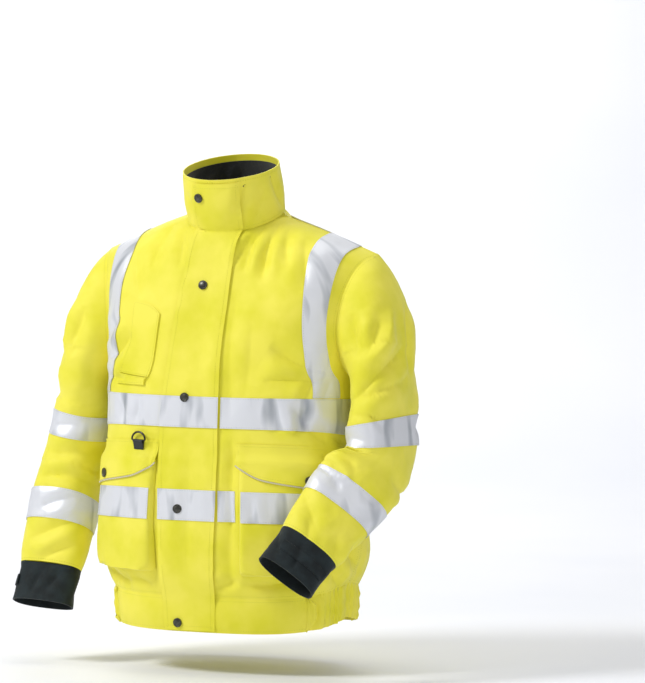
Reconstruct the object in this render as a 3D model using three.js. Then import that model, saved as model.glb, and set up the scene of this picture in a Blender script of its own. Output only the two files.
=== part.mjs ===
// Hi-vis work jacket, filled out as worn, with its hood let down on the back.
// Millimetres, +Z up, front towards -Y, the wearer's left towards +X.
// The origin lies midway between the two points where the shoulder seams meet the neck.
import * as THREE from 'three';

// Driving dimensions
const CLOTH = 2;
const TRIM = 0.9;
const GAP = 0.35;
const RING_POWER = 2.6;
const UNDERARM = -265;
const HEM_SEAM = -617;
const HEM_EDGE = -675;
const NECK_HALF = 82;
const NECK_FRONT = { y: -75, z: -28 };
const NECK_BACK = { y: 70, z: 18 };
const SHOULDER_TIP = { x: 245, y: 26, z: -63 };
const NECK_COLUMN = 0.25;
const ARM_COLUMN = 0.74;
const ARMHOLE_TURN = 0.35;
const COLLAR_STEPS = 80;
const COLLAR_RIM = { half: 80, centreY: -22, front: 58, back: 96 };
const TAPE_LOW = [-491, -441];
const TAPE_HIGH = [-340, -290];
const BRACE = [0.6, 0.84];
const BRACE_LIFT = 0.56;
const POCKET = { inner: 0.165, outer: 0.68, bottom: -578, top: -394 };
const FLAP_TOP = -364;
const FLAP_BEND = -380;
const POCKET_FLAP_CLOTH = 1.4;
const POCKET_FLAP_LIFT = 1.4;
const STORM_FLAP_CLOTH = 1.6;
const STORM_FLAP_LIFT = 1.8;
const STORM_FLAP_EASE = 1.6;
const LINING_CLOTH = 1.4;
const SNAP_RADIUS = 7.5;

// Rings of the body below the underarm: half width, depths front and back, and how far the side
// of the ring lies above its front.
const BODY_RINGS = [
  { v: -680, half: 198, front: 138, back: 128, rise: 20 },
  { v: -617, half: 203, front: 143, back: 132, rise: 20 },
  { v: -590, half: 216, front: 151, back: 140, rise: 12 },
  { v: -550, half: 222, front: 156, back: 143, rise: 0 },
  { v: -491, half: 221, front: 156, back: 140, rise: -16 },
  { v: -441, half: 217, front: 154, back: 136, rise: -20 },
  { v: -340, half: 214, front: 151, back: 128, rise: -18 },
  { v: -265, half: 213, front: 145, back: 122, rise: 0 },
];

// Large folds of the body: middle, half length, half width, depth (inward is negative) and turn
// from level in degrees, seen from outside.
const BODY_FOLDS = [
  { face: -1, x: 120, z: -225, long: 80, wide: 24, depth: -6, turn: 35 },
  { face: -1, x: -125, z: -215, long: 80, wide: 24, depth: -6, turn: -35 },
  { face: -1, x: 95, z: -395, long: 95, wide: 22, depth: -5, turn: -12 },
  { face: -1, x: -60, z: -370, long: 70, wide: 22, depth: -4, turn: 14 },
  { face: -1, x: 60, z: -110, long: 60, wide: 20, depth: -5, turn: 60 },
  { face: 1, x: 120, z: -330, long: 90, wide: 26, depth: -6, turn: -30 },
  { face: 1, x: -120, z: -345, long: 90, wide: 26, depth: -6, turn: 30 },
  { face: 1, x: 40, z: -540, long: 120, wide: 26, depth: -5, turn: 8 },
];

// Stations of the sleeves: the outer and inner rails of the tube, half its width across them, and
// how far its front has turned towards the forearm's own direction.
const LEFT_STATIONS = [
  { ox: 266, oy: 24, oz: -82, ix: 223, iy: 0, iz: -274, wide: 84, turn: 0, loop: 0.45 },
  { ox: 283, oy: 20, oz: -116, ix: 226, iy: -2, iz: -283, wide: 90, turn: 0, loop: 0.15 },
  { ox: 294, oy: 16, oz: -158, ix: 226, iy: -4, iz: -292, wide: 94, turn: 0, loop: 0 },
  { ox: 301, oy: 10, oz: -202, ix: 225, iy: -7, iz: -303, wide: 96, turn: 0, loop: 0 },
  { ox: 306, oy: 3, oz: -244, ix: 225, iy: -11, iz: -315, wide: 97, turn: 0, loop: 0 },
  { ox: 310, oy: -5, oz: -284, ix: 225, iy: -14, iz: -328, wide: 97, turn: 0, loop: 0 },
  { ox: 313, oy: -14, oz: -320, ix: 226, iy: -18, iz: -338, wide: 95, turn: 0, loop: 0 },
  { ox: 316, oy: -23, oz: -368, ix: 228, iy: -25, iz: -376, wide: 92, turn: 0.08, loop: 0 },
  { ox: 315, oy: -46, oz: -392, ix: 233, iy: -40, iz: -395, wide: 86, turn: 0.35, loop: 0 },
  { ox: 307, oy: -78, oz: -403, ix: 240, iy: -60, iz: -414, wide: 78, turn: 0.7, loop: 0 },
];
const LEFT_FOREARM = {
  from: [265, -94, -420],
  to: [216, -184, -522],
  steps: 6,
  front: [-0.769, -0.316, 0.556],
  wide: [69, 57],
  thin: [33, 34],
};
const LEFT_CUFF = { reach: 64, wide: 53, thin: 31 };
const RIGHT_STATIONS = [
  { ox: -262, oy: 26, oz: -82, ix: -223, iy: 0, iz: -274, wide: 84, turn: 0, loop: 0.45 },
  { ox: -277, oy: 25, oz: -116, ix: -226, iy: 2, iz: -283, wide: 90, turn: 0, loop: 0.15 },
  { ox: -288, oy: 25, oz: -158, ix: -226, iy: 6, iz: -292, wide: 94, turn: 0, loop: 0 },
  { ox: -296, oy: 25, oz: -202, ix: -225, iy: 10, iz: -303, wide: 96, turn: 0, loop: 0 },
  { ox: -304, oy: 26, oz: -244, ix: -225, iy: 14, iz: -316, wide: 96, turn: 0, loop: 0 },
  { ox: -312, oy: 26, oz: -285, ix: -226, iy: 17, iz: -330, wide: 95, turn: 0, loop: 0 },
  { ox: -319, oy: 24, oz: -323, ix: -228, iy: 18, iz: -344, wide: 93, turn: 0, loop: 0 },
  { ox: -330, oy: 17, oz: -368, ix: -234, iy: 12, iz: -384, wide: 89, turn: 0.12, loop: 0 },
  { ox: -342, oy: 4, oz: -410, ix: -240, iy: 2, iz: -422, wide: 81, turn: 0.4, loop: 0 },
  { ox: -350, oy: -12, oz: -444, ix: -247, iy: -12, iz: -454, wide: 73, turn: 0.75, loop: 0 },
];
const RIGHT_FOREARM = {
  from: [-301, -30, -478],
  to: [-306, -76, -588],
  steps: 6,
  front: [0.05, -0.93, 0.33],
  wide: [66, 34],
  thin: [54, 56],
};
const RIGHT_CUFF = { reach: 64, wide: 28, thin: 54 };
const SLEEVE_POWER = 2.5;
const SLEEVE_TAPE_LIFT = 0.7;
const CUFF_CLOTH = 2.6;
const CUFF_TAB = { columns: [9, 10, 11, 12, 13, 14, 15], rows: [0, 0.77], cloth: 1.6, free: 6 };

// Edges of the storm flap, from the hem up: its free edge and its sewn edge.
const FLAP_EDGES = [
  { v: -672, free: -63, sewn: 27 },
  { v: -480, free: -67, sewn: 36 },
  { v: -330, free: -66, sewn: 38 },
  { v: -180, free: -52, sewn: 38 },
  { v: -60, free: -42, sewn: 39 },
  { v: 0, free: -38, sewn: 43 },
  { v: 74, free: -31, sewn: 46 },
];

// Snaps of the storm flap, from the collar down, and how far each sinks into a bend of the cloth.
const SNAPS = [
  { x: -20, v: 53, sink: 0.7 },
  { x: -9, v: -114, sink: -0.1 },
  { x: -21, v: -292, sink: 0 },
  { x: -30, v: -473, sink: 0 },
  { x: -38, v: -660, sink: 0 },
];

// Finishes
const YELLOW = 0xdfe02a;
const SILVER = 0xd2d5da;
const DARK = 0x1f2b2e;
const BLACK = 0x15171a;
const METAL = 0x8c8f92;
const GUN_METAL = 0x3a3a35;
const CREAM = 0xe3dfcc;
const PALE_YELLOW = 0xe8ecb0;

const jacket = new THREE.Group();
jacket.name = 'hi_vis_work_jacket';

function material(color, roughness, metalness) {
  return new THREE.MeshStandardMaterial({ color, roughness, metalness, side: THREE.DoubleSide });
}

const cloth = () => material(YELLOW, 0.75, 0);
const tape = () => material(SILVER, 0.35, 0.2);
const knit = () => material(DARK, 0.9, 0);
const lining = () => material(CREAM, 0.9, 0);

function mix(a, b, t) {
  return a + (b - a) * t;
}

function clamp(value, low, high) {
  return Math.min(high, Math.max(low, value));
}

// A column of a table at any place along its key, joined by smooth cubic stretches.
function along(table, key, at, column) {
  const rising = table[0][key] < table[table.length - 1][key];
  const rows = rising ? table : [...table].reverse();
  const last = rows.length - 1;
  const place = clamp(at, rows[0][key], rows[last][key]);
  let i = 0;
  while (i < last - 1 && rows[i + 1][key] < place) i += 1;
  const slope = (k) => {
    const a = rows[Math.max(k - 1, 0)];
    const b = rows[Math.min(k + 1, last)];
    return (b[column] - a[column]) / (b[key] - a[key]);
  };
  const span = rows[i + 1][key] - rows[i][key];
  const t = (place - rows[i][key]) / span;
  const t2 = t * t;
  const t3 = t2 * t;
  return (2 * t3 - 3 * t2 + 1) * rows[i][column]
    + (t3 - 2 * t2 + t) * span * slope(i)
    + (3 * t2 - 2 * t3) * rows[i + 1][column]
    + (t3 - t2) * span * slope(i + 1);
}

// A closed body between an outer and an inner grid of points. Both have the same rows and
// columns; a wrapped one closes round its columns.
function wall(name, outer, inner, finish, wrapped = false) {
  const rows = outer.length;
  const columns = outer[0].length;
  const points = [...outer.flat(), ...inner.flat()];
  const half = rows * columns;
  const faces = [];
  // Each four-sided face is split along its shorter diagonal, so that pieces on one another agree.
  const quad = (a, b, c, d) => {
    const short = points[a].distanceTo(points[c]) <= points[b].distanceTo(points[d]);
    faces.push(...(short ? [[a, b, c], [a, c, d]] : [[a, b, d], [b, c, d]]));
  };
  const at = (r, c) => r * columns + (c % columns);
  const across = wrapped ? columns : columns - 1;
  for (let r = 0; r < rows - 1; r += 1) {
    for (let c = 0; c < across; c += 1) {
      quad(at(r, c), at(r, c + 1), at(r + 1, c + 1), at(r + 1, c));
      quad(half + at(r, c), half + at(r + 1, c), half + at(r + 1, c + 1), half + at(r, c + 1));
    }
  }
  for (let c = 0; c < across; c += 1) {
    const top = rows - 1;
    quad(at(0, c + 1), at(0, c), half + at(0, c), half + at(0, c + 1));
    quad(at(top, c), at(top, c + 1), half + at(top, c + 1), half + at(top, c));
  }
  if (!wrapped) {
    const end = columns - 1;
    for (let r = 0; r < rows - 1; r += 1) {
      quad(at(r, 0), at(r + 1, 0), half + at(r + 1, 0), half + at(r, 0));
      quad(at(r + 1, end), at(r, end), half + at(r, end), half + at(r + 1, end));
    }
  }
  return addBody(name, points, faces, finish);
}

// Adds a body from points and faces, turned so that its faces point out.
function addBody(name, points, faces, finish) {
  let volume = 0;
  const cross = new THREE.Vector3();
  for (const [a, b, c] of faces) {
    volume += points[a].dot(cross.crossVectors(points[b], points[c]));
  }
  const turned = volume < 0 ? faces.map(([a, b, c]) => [a, c, b]) : faces;
  const geometry = new THREE.BufferGeometry();
  geometry.setAttribute('position', new THREE.Float32BufferAttribute(points.flatMap((p) => [p.x, p.y, p.z]), 3));
  geometry.setIndex(turned.flat());
  geometry.computeVertexNormals();
  const mesh = new THREE.Mesh(geometry, finish);
  mesh.name = name;
  jacket.add(mesh);
  return mesh;
}

// Outward directions of a grid of points, from the points beside each.
function gridNormals(grid, wrapped) {
  const rows = grid.length;
  const columns = grid[0].length;
  return grid.map((row, r) => row.map((point, c) => {
    const left = wrapped ? (c + columns - 1) % columns : Math.max(c - 1, 0);
    const right = wrapped ? (c + 1) % columns : Math.min(c + 1, columns - 1);
    const across = grid[r][right].clone().sub(grid[r][left]);
    const up = grid[Math.min(r + 1, rows - 1)][c].clone().sub(grid[Math.max(r - 1, 0)][c]);
    return across.cross(up).normalize();
  }));
}

function moved(grid, normals, lift) {
  return grid.map((row, r) => row.map((point, c) => point.clone().addScaledVector(normals[r][c], lift)));
}

// The smooth form of the body. face is -1 on the front and 1 on the back, side is 1 on the
// wearer's left, column runs from the centre (0) to the side seam or armhole (1), and v runs from
// the hem up: a height below the underarm, then over the shoulder to the neck or the shoulder
// seam (0), then up the collar.
function plainPoint(face, side, column, v) {
  const power = 2 / RING_POWER;
  const climb = clamp((v - UNDERARM) / -UNDERARM, 0, 1);
  const turn = clamp(climb / ARMHOLE_TURN, 0, 1);
  const edge = 1 - (1 - ARM_COLUMN) * Math.sqrt(turn * (2 - turn));
  const place = column * edge;
  const level = Math.min(v, UNDERARM);
  const depth = along(BODY_RINGS, 'v', level, face < 0 ? 'front' : 'back');
  const half = along(BODY_RINGS, 'v', level, 'half');
  const rise = along(BODY_RINGS, 'v', level, 'rise');
  const angle = place * Math.PI / 2;
  const point = new THREE.Vector3(
    half * Math.sin(angle) ** power,
    face * depth * Math.max(Math.cos(angle), 0) ** power,
    level + rise * place ** 3,
  );
  if (v <= UNDERARM) return point.setX(side * point.x);
  const top = topPoint(face, place);
  const roundness = mix(face < 0 ? 1.08 : 1.7, 2.4, clamp(place / 0.5, 0, 1));
  const sweep = climb * Math.PI / 2;
  const up = Math.sin(sweep) ** (2 / roundness);
  const over = Math.max(Math.cos(sweep), 0) ** (2 / roundness);
  point.set(
    mix(point.x, top.x, climb ** 1.4),
    mix(top.y, point.y, over),
    mix(point.z, top.z, up),
  );
  if (v > 0) {
    const w = v / COLLAR_STEPS;
    const rim = rimPoint(face, place);
    point.set(
      mix(top.x, rim.x, w),
      mix(top.y, rim.y, w) + face * 5 * Math.sin(w * Math.PI),
      mix(top.z, rim.z, w) + 2 * GAP,
    );
  }
  return point.setX(side * point.x);
}

// The upper edge of the body: the neckline, then the shoulder seam.
function topPoint(face, place) {
  if (place < NECK_COLUMN) {
    const angle = (place / NECK_COLUMN) * Math.PI / 2;
    const middle = face < 0 ? NECK_FRONT : NECK_BACK;
    return new THREE.Vector3(
      NECK_HALF * Math.sin(angle),
      middle.y * Math.cos(angle),
      middle.z * Math.cos(angle),
    );
  }
  const out = clamp((place - NECK_COLUMN) / (ARM_COLUMN - NECK_COLUMN), 0, 1) ** 0.74;
  return new THREE.Vector3(
    mix(NECK_HALF, SHOULDER_TIP.x, out),
    SHOULDER_TIP.y * out,
    SHOULDER_TIP.z * out ** 1.15,
  );
}

// The upper rim of the collar above a place on the neckline.
function rimPoint(face, place) {
  const angle = clamp(place / NECK_COLUMN, 0, 1) * Math.PI / 2;
  const middle = (COLLAR_RIM.front + COLLAR_RIM.back) / 2;
  const swing = (COLLAR_RIM.back - COLLAR_RIM.front) / 2;
  return new THREE.Vector3(
    COLLAR_RIM.half * Math.sin(angle),
    COLLAR_RIM.centreY + face * COLLAR_RIM.half * Math.cos(angle),
    middle + face * swing * Math.cos(angle),
  );
}

function plainNormal(face, side, column, v) {
  const step = 0.004;
  const low = Math.max(column - step, 0.0005);
  const high = Math.min(column + step, 0.9995);
  const top = v > 0 ? COLLAR_STEPS : 0;
  const across = plainPoint(face, side, high, v).sub(plainPoint(face, side, low, v));
  const up = plainPoint(face, side, column, Math.min(v + 2, top))
    .sub(plainPoint(face, side, column, Math.min(v, top - 2) - 2));
  const normal = across.cross(up);
  const onRidge = v > -2 && v <= 0 && column * ARM_COLUMN >= NECK_COLUMN;
  if (onRidge) normal.y = 0;
  return normal.normalize().multiplyScalar(-face * side);
}

// How deep the large folds press the cloth at a place on the body.
function foldDepth(face, point) {
  let depth = 0;
  for (const fold of BODY_FOLDS) {
    if (fold.face !== face) continue;
    const turn = THREE.MathUtils.degToRad(fold.turn);
    const dx = point.x - fold.x;
    const dz = point.z - fold.z;
    const alongFold = (dx * Math.cos(turn) + dz * Math.sin(turn)) / fold.long;
    const acrossFold = (dz * Math.cos(turn) - dx * Math.sin(turn)) / fold.wide;
    depth += fold.depth * Math.exp(-(alongFold ** 2) - acrossFold ** 2);
  }
  return depth;
}

// A point of the body's cloth, lifted off it by a distance. Fronts and back stand a hair apart
// at their seams.
function bodyPoint(face, side, column, v, lift = 0) {
  const point = plainPoint(face, side, column, v);
  const normal = plainNormal(face, side, column, v);
  const pressed = v > 0 ? 0 : foldDepth(face, point) * clamp(-v / 60, 0, 1);
  point.addScaledVector(normal, pressed + lift);
  point.y += face * GAP / 2;
  if (face < 0) point.x += side * GAP / 2;
  return point;
}

// The column whose cloth lies at x from the centre, in row v.
function columnAt(face, x, v) {
  let low = 0;
  let high = v > 0 ? NECK_COLUMN / ARM_COLUMN : 1;
  for (let i = 0; i < 40; i += 1) {
    const middle = (low + high) / 2;
    if (plainPoint(face, 1, middle, v).x < Math.abs(x)) low = middle;
    else high = middle;
  }
  return (low + high) / 2;
}

// The column and row whose cloth lies at x and z.
function placeAt(face, x, z) {
  let v = Math.min(z, -1);
  let column = 0;
  for (let turn = 0; turn < 12; turn += 1) {
    column = columnAt(face, x, v);
    let low = -675;
    let high = 0;
    for (let i = 0; i < 30; i += 1) {
      v = (low + high) / 2;
      if (plainPoint(face, 1, column, v).z < z) low = v;
      else high = v;
    }
  }
  return { column, v };
}

// Lines of the body's grid. Tapes, braces, pockets and flaps start and end on them or carry all
// of those that they cross.
const COLUMNS = [0, 0.085, 0.165, 0.25, 0.338, 0.42, 0.51, BRACE[0], 0.68, 0.76, BRACE[1], 0.92, 1];
const LOWER_ROWS = [
  HEM_SEAM, -600, POCKET.bottom, -550, -520, ...TAPE_LOW, -418, POCKET.top, FLAP_BEND, FLAP_TOP, ...TAPE_HIGH,
];
const UPPER_ROWS = [UNDERARM, -262, -254, -240, -222, -200, -172, -140, -106, -72, -38, 0];

// The lines between two places, with both ends.
function between(lines, from, to) {
  return [from, ...lines.filter((line) => line > from + 0.01 * Math.abs(to - from)
    && line < to - 0.01 * Math.abs(to - from)), to];
}

const BODY_ROWS = [...LOWER_ROWS, ...UPPER_ROWS];

function patch(face, side, columns, rows, lift) {
  return rows.map((v) => columns.map((column) => {
    const height = typeof lift === 'function' ? lift(column, v) : lift;
    return bodyPoint(face, side, column, v, height);
  }));
}

// A piece that lies on the body between two columns and two rows.
function onBody(name, face, side, columns, rows, lift, thickness, finish) {
  wall(name, patch(face, side, columns, rows, lift + thickness), patch(face, side, columns, rows, lift), finish);
}

// Signed columns run across the whole back, from the wearer's right to left.
function backGrid(columns, rows, lift) {
  return rows.map((v) => columns.map((column) => bodyPoint(1, column < 0 ? -1 : 1, Math.abs(column), v, lift)));
}

function mirrored(columns) {
  return [...columns.slice(1).reverse().map((column) => -column), ...columns];
}

// Fronts and back

function bodyPanels() {
  for (const [name, side] of [['front_left', 1], ['front_right', -1]]) {
    onBody(name, -1, side, COLUMNS, BODY_ROWS, -CLOTH, CLOTH, cloth());
  }
  const columns = mirrored(COLUMNS);
  wall('back', backGrid(columns, BODY_ROWS, 0), backGrid(columns, BODY_ROWS, -CLOTH), cloth());
}

// Hem band: flat fronts and back, and elastic sides that draw it into gathers.
function hemBand() {
  const rows = [HEM_EDGE, HEM_SEAM - 2 * GAP];
  const elastic = 0.6;
  const wave = 2.2;
  const flat = between(COLUMNS, 0, elastic - 0.004);
  for (const [name, side] of [['hem_left', 1], ['hem_right', -1]]) {
    onBody(name, -1, side, flat, rows, -CLOTH, CLOTH, cloth());
    const gathers = 10;
    const steps = gathers * 4;
    const ring = [];
    for (let i = 0; i <= steps; i += 1) {
      const t = i / steps * 2 - 1;
      const face = t < 0 ? -1 : 1;
      const column = 1 - Math.abs(t) * (1 - elastic);
      ring.push({ face, column, wave: wave * Math.cos(i / 4 * Math.PI * 2 + Math.PI) });
    }
    const grid = (lift) => rows.map((v) => ring.map((at) => {
      const point = plainPoint(at.face, side, at.column, v);
      const normal = plainNormal(at.face, side, at.column, v);
      return point.addScaledVector(normal, at.wave + lift);
    }));
    wall(name.replace('hem', 'hem_side'), grid(0), grid(-CLOTH), cloth());
  }
  const columns = mirrored(flat);
  wall('hem_back', backGrid(columns, rows, 0), backGrid(columns, rows, -CLOTH), cloth());
}

// Collar: a standing band whose ends meet under the storm flap, with a dark lining inside it.
function collar() {
  const neckColumns = [0, 0.045, 0.1, 0.16, 0.22, 0.28, NECK_COLUMN / ARM_COLUMN];
  const rows = [0.01, 20, 40, 60, COLLAR_STEPS];
  const ring = [
    ...neckColumns.map((column) => ({ face: -1, side: 1, column })),
    ...neckColumns.slice(0, -1).reverse().map((column) => ({ face: 1, side: 1, column })),
    ...neckColumns.slice(1).map((column) => ({ face: 1, side: -1, column })),
    ...neckColumns.slice(0, -1).reverse().map((column) => ({ face: -1, side: -1, column })),
  ];
  const grid = (lift, top) => rows.map((v) => ring.map((at, i) => {
    const row = Math.min(v, COLLAR_STEPS * top);
    const point = plainPoint(at.face, at.side, at.column, row);
    const centre = new THREE.Vector3(0, mix(0, COLLAR_RIM.centreY, row / COLLAR_STEPS), point.z);
    const out = point.clone().sub(centre).normalize();
    point.addScaledVector(out, lift);
    if (i === 0) point.x += GAP / 2;
    if (i === ring.length - 1) point.x -= GAP / 2;
    return point;
  }));
  wall('collar', grid(0, 1), grid(-CLOTH, 1), cloth());
  const inner = -CLOTH - GAP * 2;
  wall('collar_lining', grid(inner, 0.86), grid(inner - TRIM, 0.86), material(BLACK, 0.95, 0));
}

// Storm flap, from the collar to the hem, over the meeting of the fronts. It eases away from the
// cloth towards its free edge.
function flapRow(v, lift) {
  const free = along(FLAP_EDGES, 'v', v, 'free');
  const sewn = along(FLAP_EDGES, 'v', v, 'sewn');
  return [0, 0.25, 0.5, 0.75, 1].map((t) => {
    const x = mix(free, sewn, t);
    const side = x < 0 ? -1 : 1;
    const ease = STORM_FLAP_EASE * (1 - t);
    return bodyPoint(-1, side, columnAt(-1, x, v), v, STORM_FLAP_LIFT + ease + lift);
  });
}

function stormFlap() {
  const rows = [FLAP_EDGES[0].v, -646, ...BODY_ROWS.filter((v) => v < -1), -4, 5, 20, 40, 60, FLAP_EDGES[6].v];
  const grid = (lift) => rows.map((v) => flapRow(v, lift));
  wall('storm_flap', grid(STORM_FLAP_CLOTH), grid(0), cloth());
}

// How far the face of a lower pocket stands off the front at a row: more at its foot.
function pocketFace(v) {
  return mix(14, 8, (v - POCKET.bottom) / (POCKET.top - POCKET.bottom));
}

// A lower pocket: a face on gussets along both sides and the foot, open at the top.
function bellowsPocket(name, side) {
  const rim = 0.016;
  const sill = 5;
  const seat = 0.5;
  const inset = 0.005;
  const shell = (step, rise, sink) => {
    const inner = POCKET.inner + step;
    const outer = POCKET.outer - step;
    const columns = [inner, ...between(COLUMNS, inner + rim, outer - rim), outer];
    const foot = POCKET.bottom + rise;
    const rows = [...between(BODY_ROWS, foot + sill, POCKET.top).reverse(), foot];
    return rows.map((v, r) => columns.map((column, c) => {
      const edge = r === rows.length - 1 || c === 0 || c === columns.length - 1;
      return bodyPoint(-1, side, column, v, edge ? seat : pocketFace(v) - sink);
    }));
  };
  wall(name, shell(0, 0, 0), shell(inset, 1.6, 1.8), cloth());
}

// Lower edge of a pocket flap: cut off at its inner corner, then dropping outward.
const FLAP_DROP = [
  { column: 0.15, v: -397 },
  { column: 0.25, v: -418 },
  { column: 0.7, v: -434 },
];

function flapGrid(side, lift) {
  const overhang = 0.015;
  const columns = [
    POCKET.inner - overhang,
    ...between(COLUMNS, POCKET.inner, POCKET.outer),
    POCKET.outer + overhang,
  ];
  const seat = 0.5;
  const drops = [0, 0.35, 0.7, 1];
  return [FLAP_TOP, FLAP_BEND, ...drops].map((row, r) => columns.map((column) => {
    const low = along(FLAP_DROP, 'column', column, 'v');
    const v = r < 2 ? row : mix(POCKET.top + 3, low, row);
    const stand = r < 2 ? seat : pocketFace(v) + POCKET_FLAP_LIFT;
    return bodyPoint(-1, side, column, v, stand + lift);
  }));
}

function pocketFlaps(name, side) {
  const piping = 1.4;
  wall(`pocket_flap_${name}`, flapGrid(side, POCKET_FLAP_CLOTH), flapGrid(side, 0), cloth());
  const middle = flapGrid(side, POCKET_FLAP_CLOTH / 2);
  const edge = middle[middle.length - 1];
  const before = middle[middle.length - 2];
  const line = edge.map((point, i) => {
    const down = point.clone().sub(before[i]).normalize();
    return point.clone().addScaledVector(down, piping + 0.5);
  });
  cordTube(`flap_piping_${name}`, line, piping, 6, material(CREAM, 0.8, 0));
}

// A solid cord of a few sides along a list of points.
function cordTube(name, line, radius, sides, finish) {
  const rings = line.map((point, i) => {
    const ahead = line[Math.min(i + 1, line.length - 1)].clone().sub(line[Math.max(i - 1, 0)]).normalize();
    const up = new THREE.Vector3(0, 0, 1);
    const out = ahead.clone().cross(up).normalize();
    const over = out.clone().cross(ahead).normalize();
    return Array.from({ length: sides }, (_, k) => {
      const angle = k / sides * Math.PI * 2;
      return point.clone()
        .addScaledVector(out, radius * Math.cos(angle))
        .addScaledVector(over, radius * Math.sin(angle));
    });
  });
  const points = rings.flat();
  const faces = [];
  for (let r = 0; r < rings.length - 1; r += 1) {
    for (let k = 0; k < sides; k += 1) {
      const next = (k + 1) % sides;
      const a = r * sides;
      faces.push([a + k, a + next, a + sides + next], [a + k, a + sides + next, a + sides + k]);
    }
  }
  const first = points.length;
  points.push(line[0].clone(), line[line.length - 1].clone());
  const end = (rings.length - 1) * sides;
  for (let k = 0; k < sides; k += 1) {
    const next = (k + 1) % sides;
    faces.push([first, next, k], [first + 1, end + k, end + next]);
  }
  addBody(name, points, faces, finish);
}

// Chest pocket on the wearer's right: a flat patch with a welt along its lower edge.
const CHEST = { columns: [0.25, 0.49], rows: [-261, -176], welt: 14, weltCloth: 2.8 };

function chestPocket() {
  const columns = between(COLUMNS, ...CHEST.columns);
  onBody('chest_pocket', -1, -1, columns, between(BODY_ROWS, ...CHEST.rows), GAP, CLOTH, cloth());
  const low = CHEST.rows[0];
  const welt = between(BODY_ROWS, low - CHEST.welt, low - 1);
  onBody('chest_welt', -1, -1, columns, welt, GAP, CHEST.weltCloth, cloth());
}

// Reflective tape

function bodyTapes() {
  const under = 0.02;
  for (const [name, side] of [['right', -1], ['left', 1]]) {
    const start = side < 0 ? under : 0.075;
    const lowStart = side < 0 ? under : 0.07;
    onBody(`tape_upper_front_${name}`, -1, side, between(COLUMNS, start, 1), TAPE_HIGH, GAP, TRIM, tape());
    const toPocket = between(COLUMNS, lowStart, POCKET.inner - 0.022);
    onBody(`tape_lower_front_${name}`, -1, side, toPocket, TAPE_LOW, GAP, TRIM, tape());
    const toSide = between(COLUMNS, 0.705, 1);
    onBody(`tape_lower_side_${name}`, -1, side, toSide, TAPE_LOW, GAP, TRIM, tape());
    const columns = between(COLUMNS, POCKET.inner + 0.016, POCKET.outer - 0.016);
    const face = (lift) => patch(-1, side, columns, TAPE_LOW, (c, v) => pocketFace(v) + lift);
    wall(`tape_pocket_${name}`, face(GAP + TRIM), face(GAP), tape());
  }
  const columns = mirrored(COLUMNS);
  for (const [name, rows] of [['upper', TAPE_HIGH], ['lower', TAPE_LOW]]) {
    wall(`tape_${name}_back`, backGrid(columns, rows, GAP + TRIM), backGrid(columns, rows, GAP), tape());
    const flap = (lift) => rows.map((v) => flapRow(v, STORM_FLAP_CLOTH + lift));
    wall(`tape_${name}_flap`, flap(GAP + TRIM), flap(GAP), tape());
  }
}

// Braces run from the upper band over each shoulder to the band behind.
function braces() {
  const columns = between(COLUMNS, ...BRACE);
  const rows = [TAPE_HIGH[1] + 1, ...UPPER_ROWS];
  for (const [name, side] of [['brace_right', -1], ['brace_left', 1]]) {
    const grid = (lift) => [
      ...patch(-1, side, columns, rows.slice(0, -1), lift),
      ...patch(1, side, columns, rows.slice(0, -1), lift).reverse(),
    ];
    const ridge = (lift) => {
      const front = patch(-1, side, columns, [0], lift)[0];
      const back = patch(1, side, columns, [0], lift)[0];
      return front.map((point, i) => point.add(back[i]).multiplyScalar(0.5).setZ(point.z));
    };
    const full = (lift) => {
      const rowsOut = grid(lift);
      rowsOut.splice(rows.length - 1, 0, ridge(lift));
      return rowsOut;
    };
    wall(name, full(BRACE_LIFT + TRIM), full(BRACE_LIFT), tape());
  }
}

// Sleeves

// The armhole's edge, from the underarm up the front and down the back.
function armholeLoop(side, lift) {
  const front = UPPER_ROWS.slice(1, -1).map((v) => bodyPoint(-1, side, 1, v, lift));
  const back = UPPER_ROWS.slice(1, -1).map((v) => bodyPoint(1, side, 1, v, lift)).reverse();
  const low = bodyPoint(-1, side, 1, UNDERARM, lift);
  const high = bodyPoint(-1, side, 1, 0, lift);
  low.y = 0;
  high.y = SHOULDER_TIP.y;
  return [low, ...front, high, ...back].map((point) => point.setX(point.x + side * GAP * 3));
}

function ringPoints(centre, front, out, wide, thin, count) {
  const power = 2 / SLEEVE_POWER;
  const curve = (value) => Math.sign(value) * Math.abs(value) ** power;
  return Array.from({ length: count }, (_, i) => {
    const angle = i / count * Math.PI * 2;
    return centre.clone()
      .addScaledVector(out, -thin * curve(Math.cos(angle)))
      .addScaledVector(front, wide * curve(Math.sin(angle)));
  });
}

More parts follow.
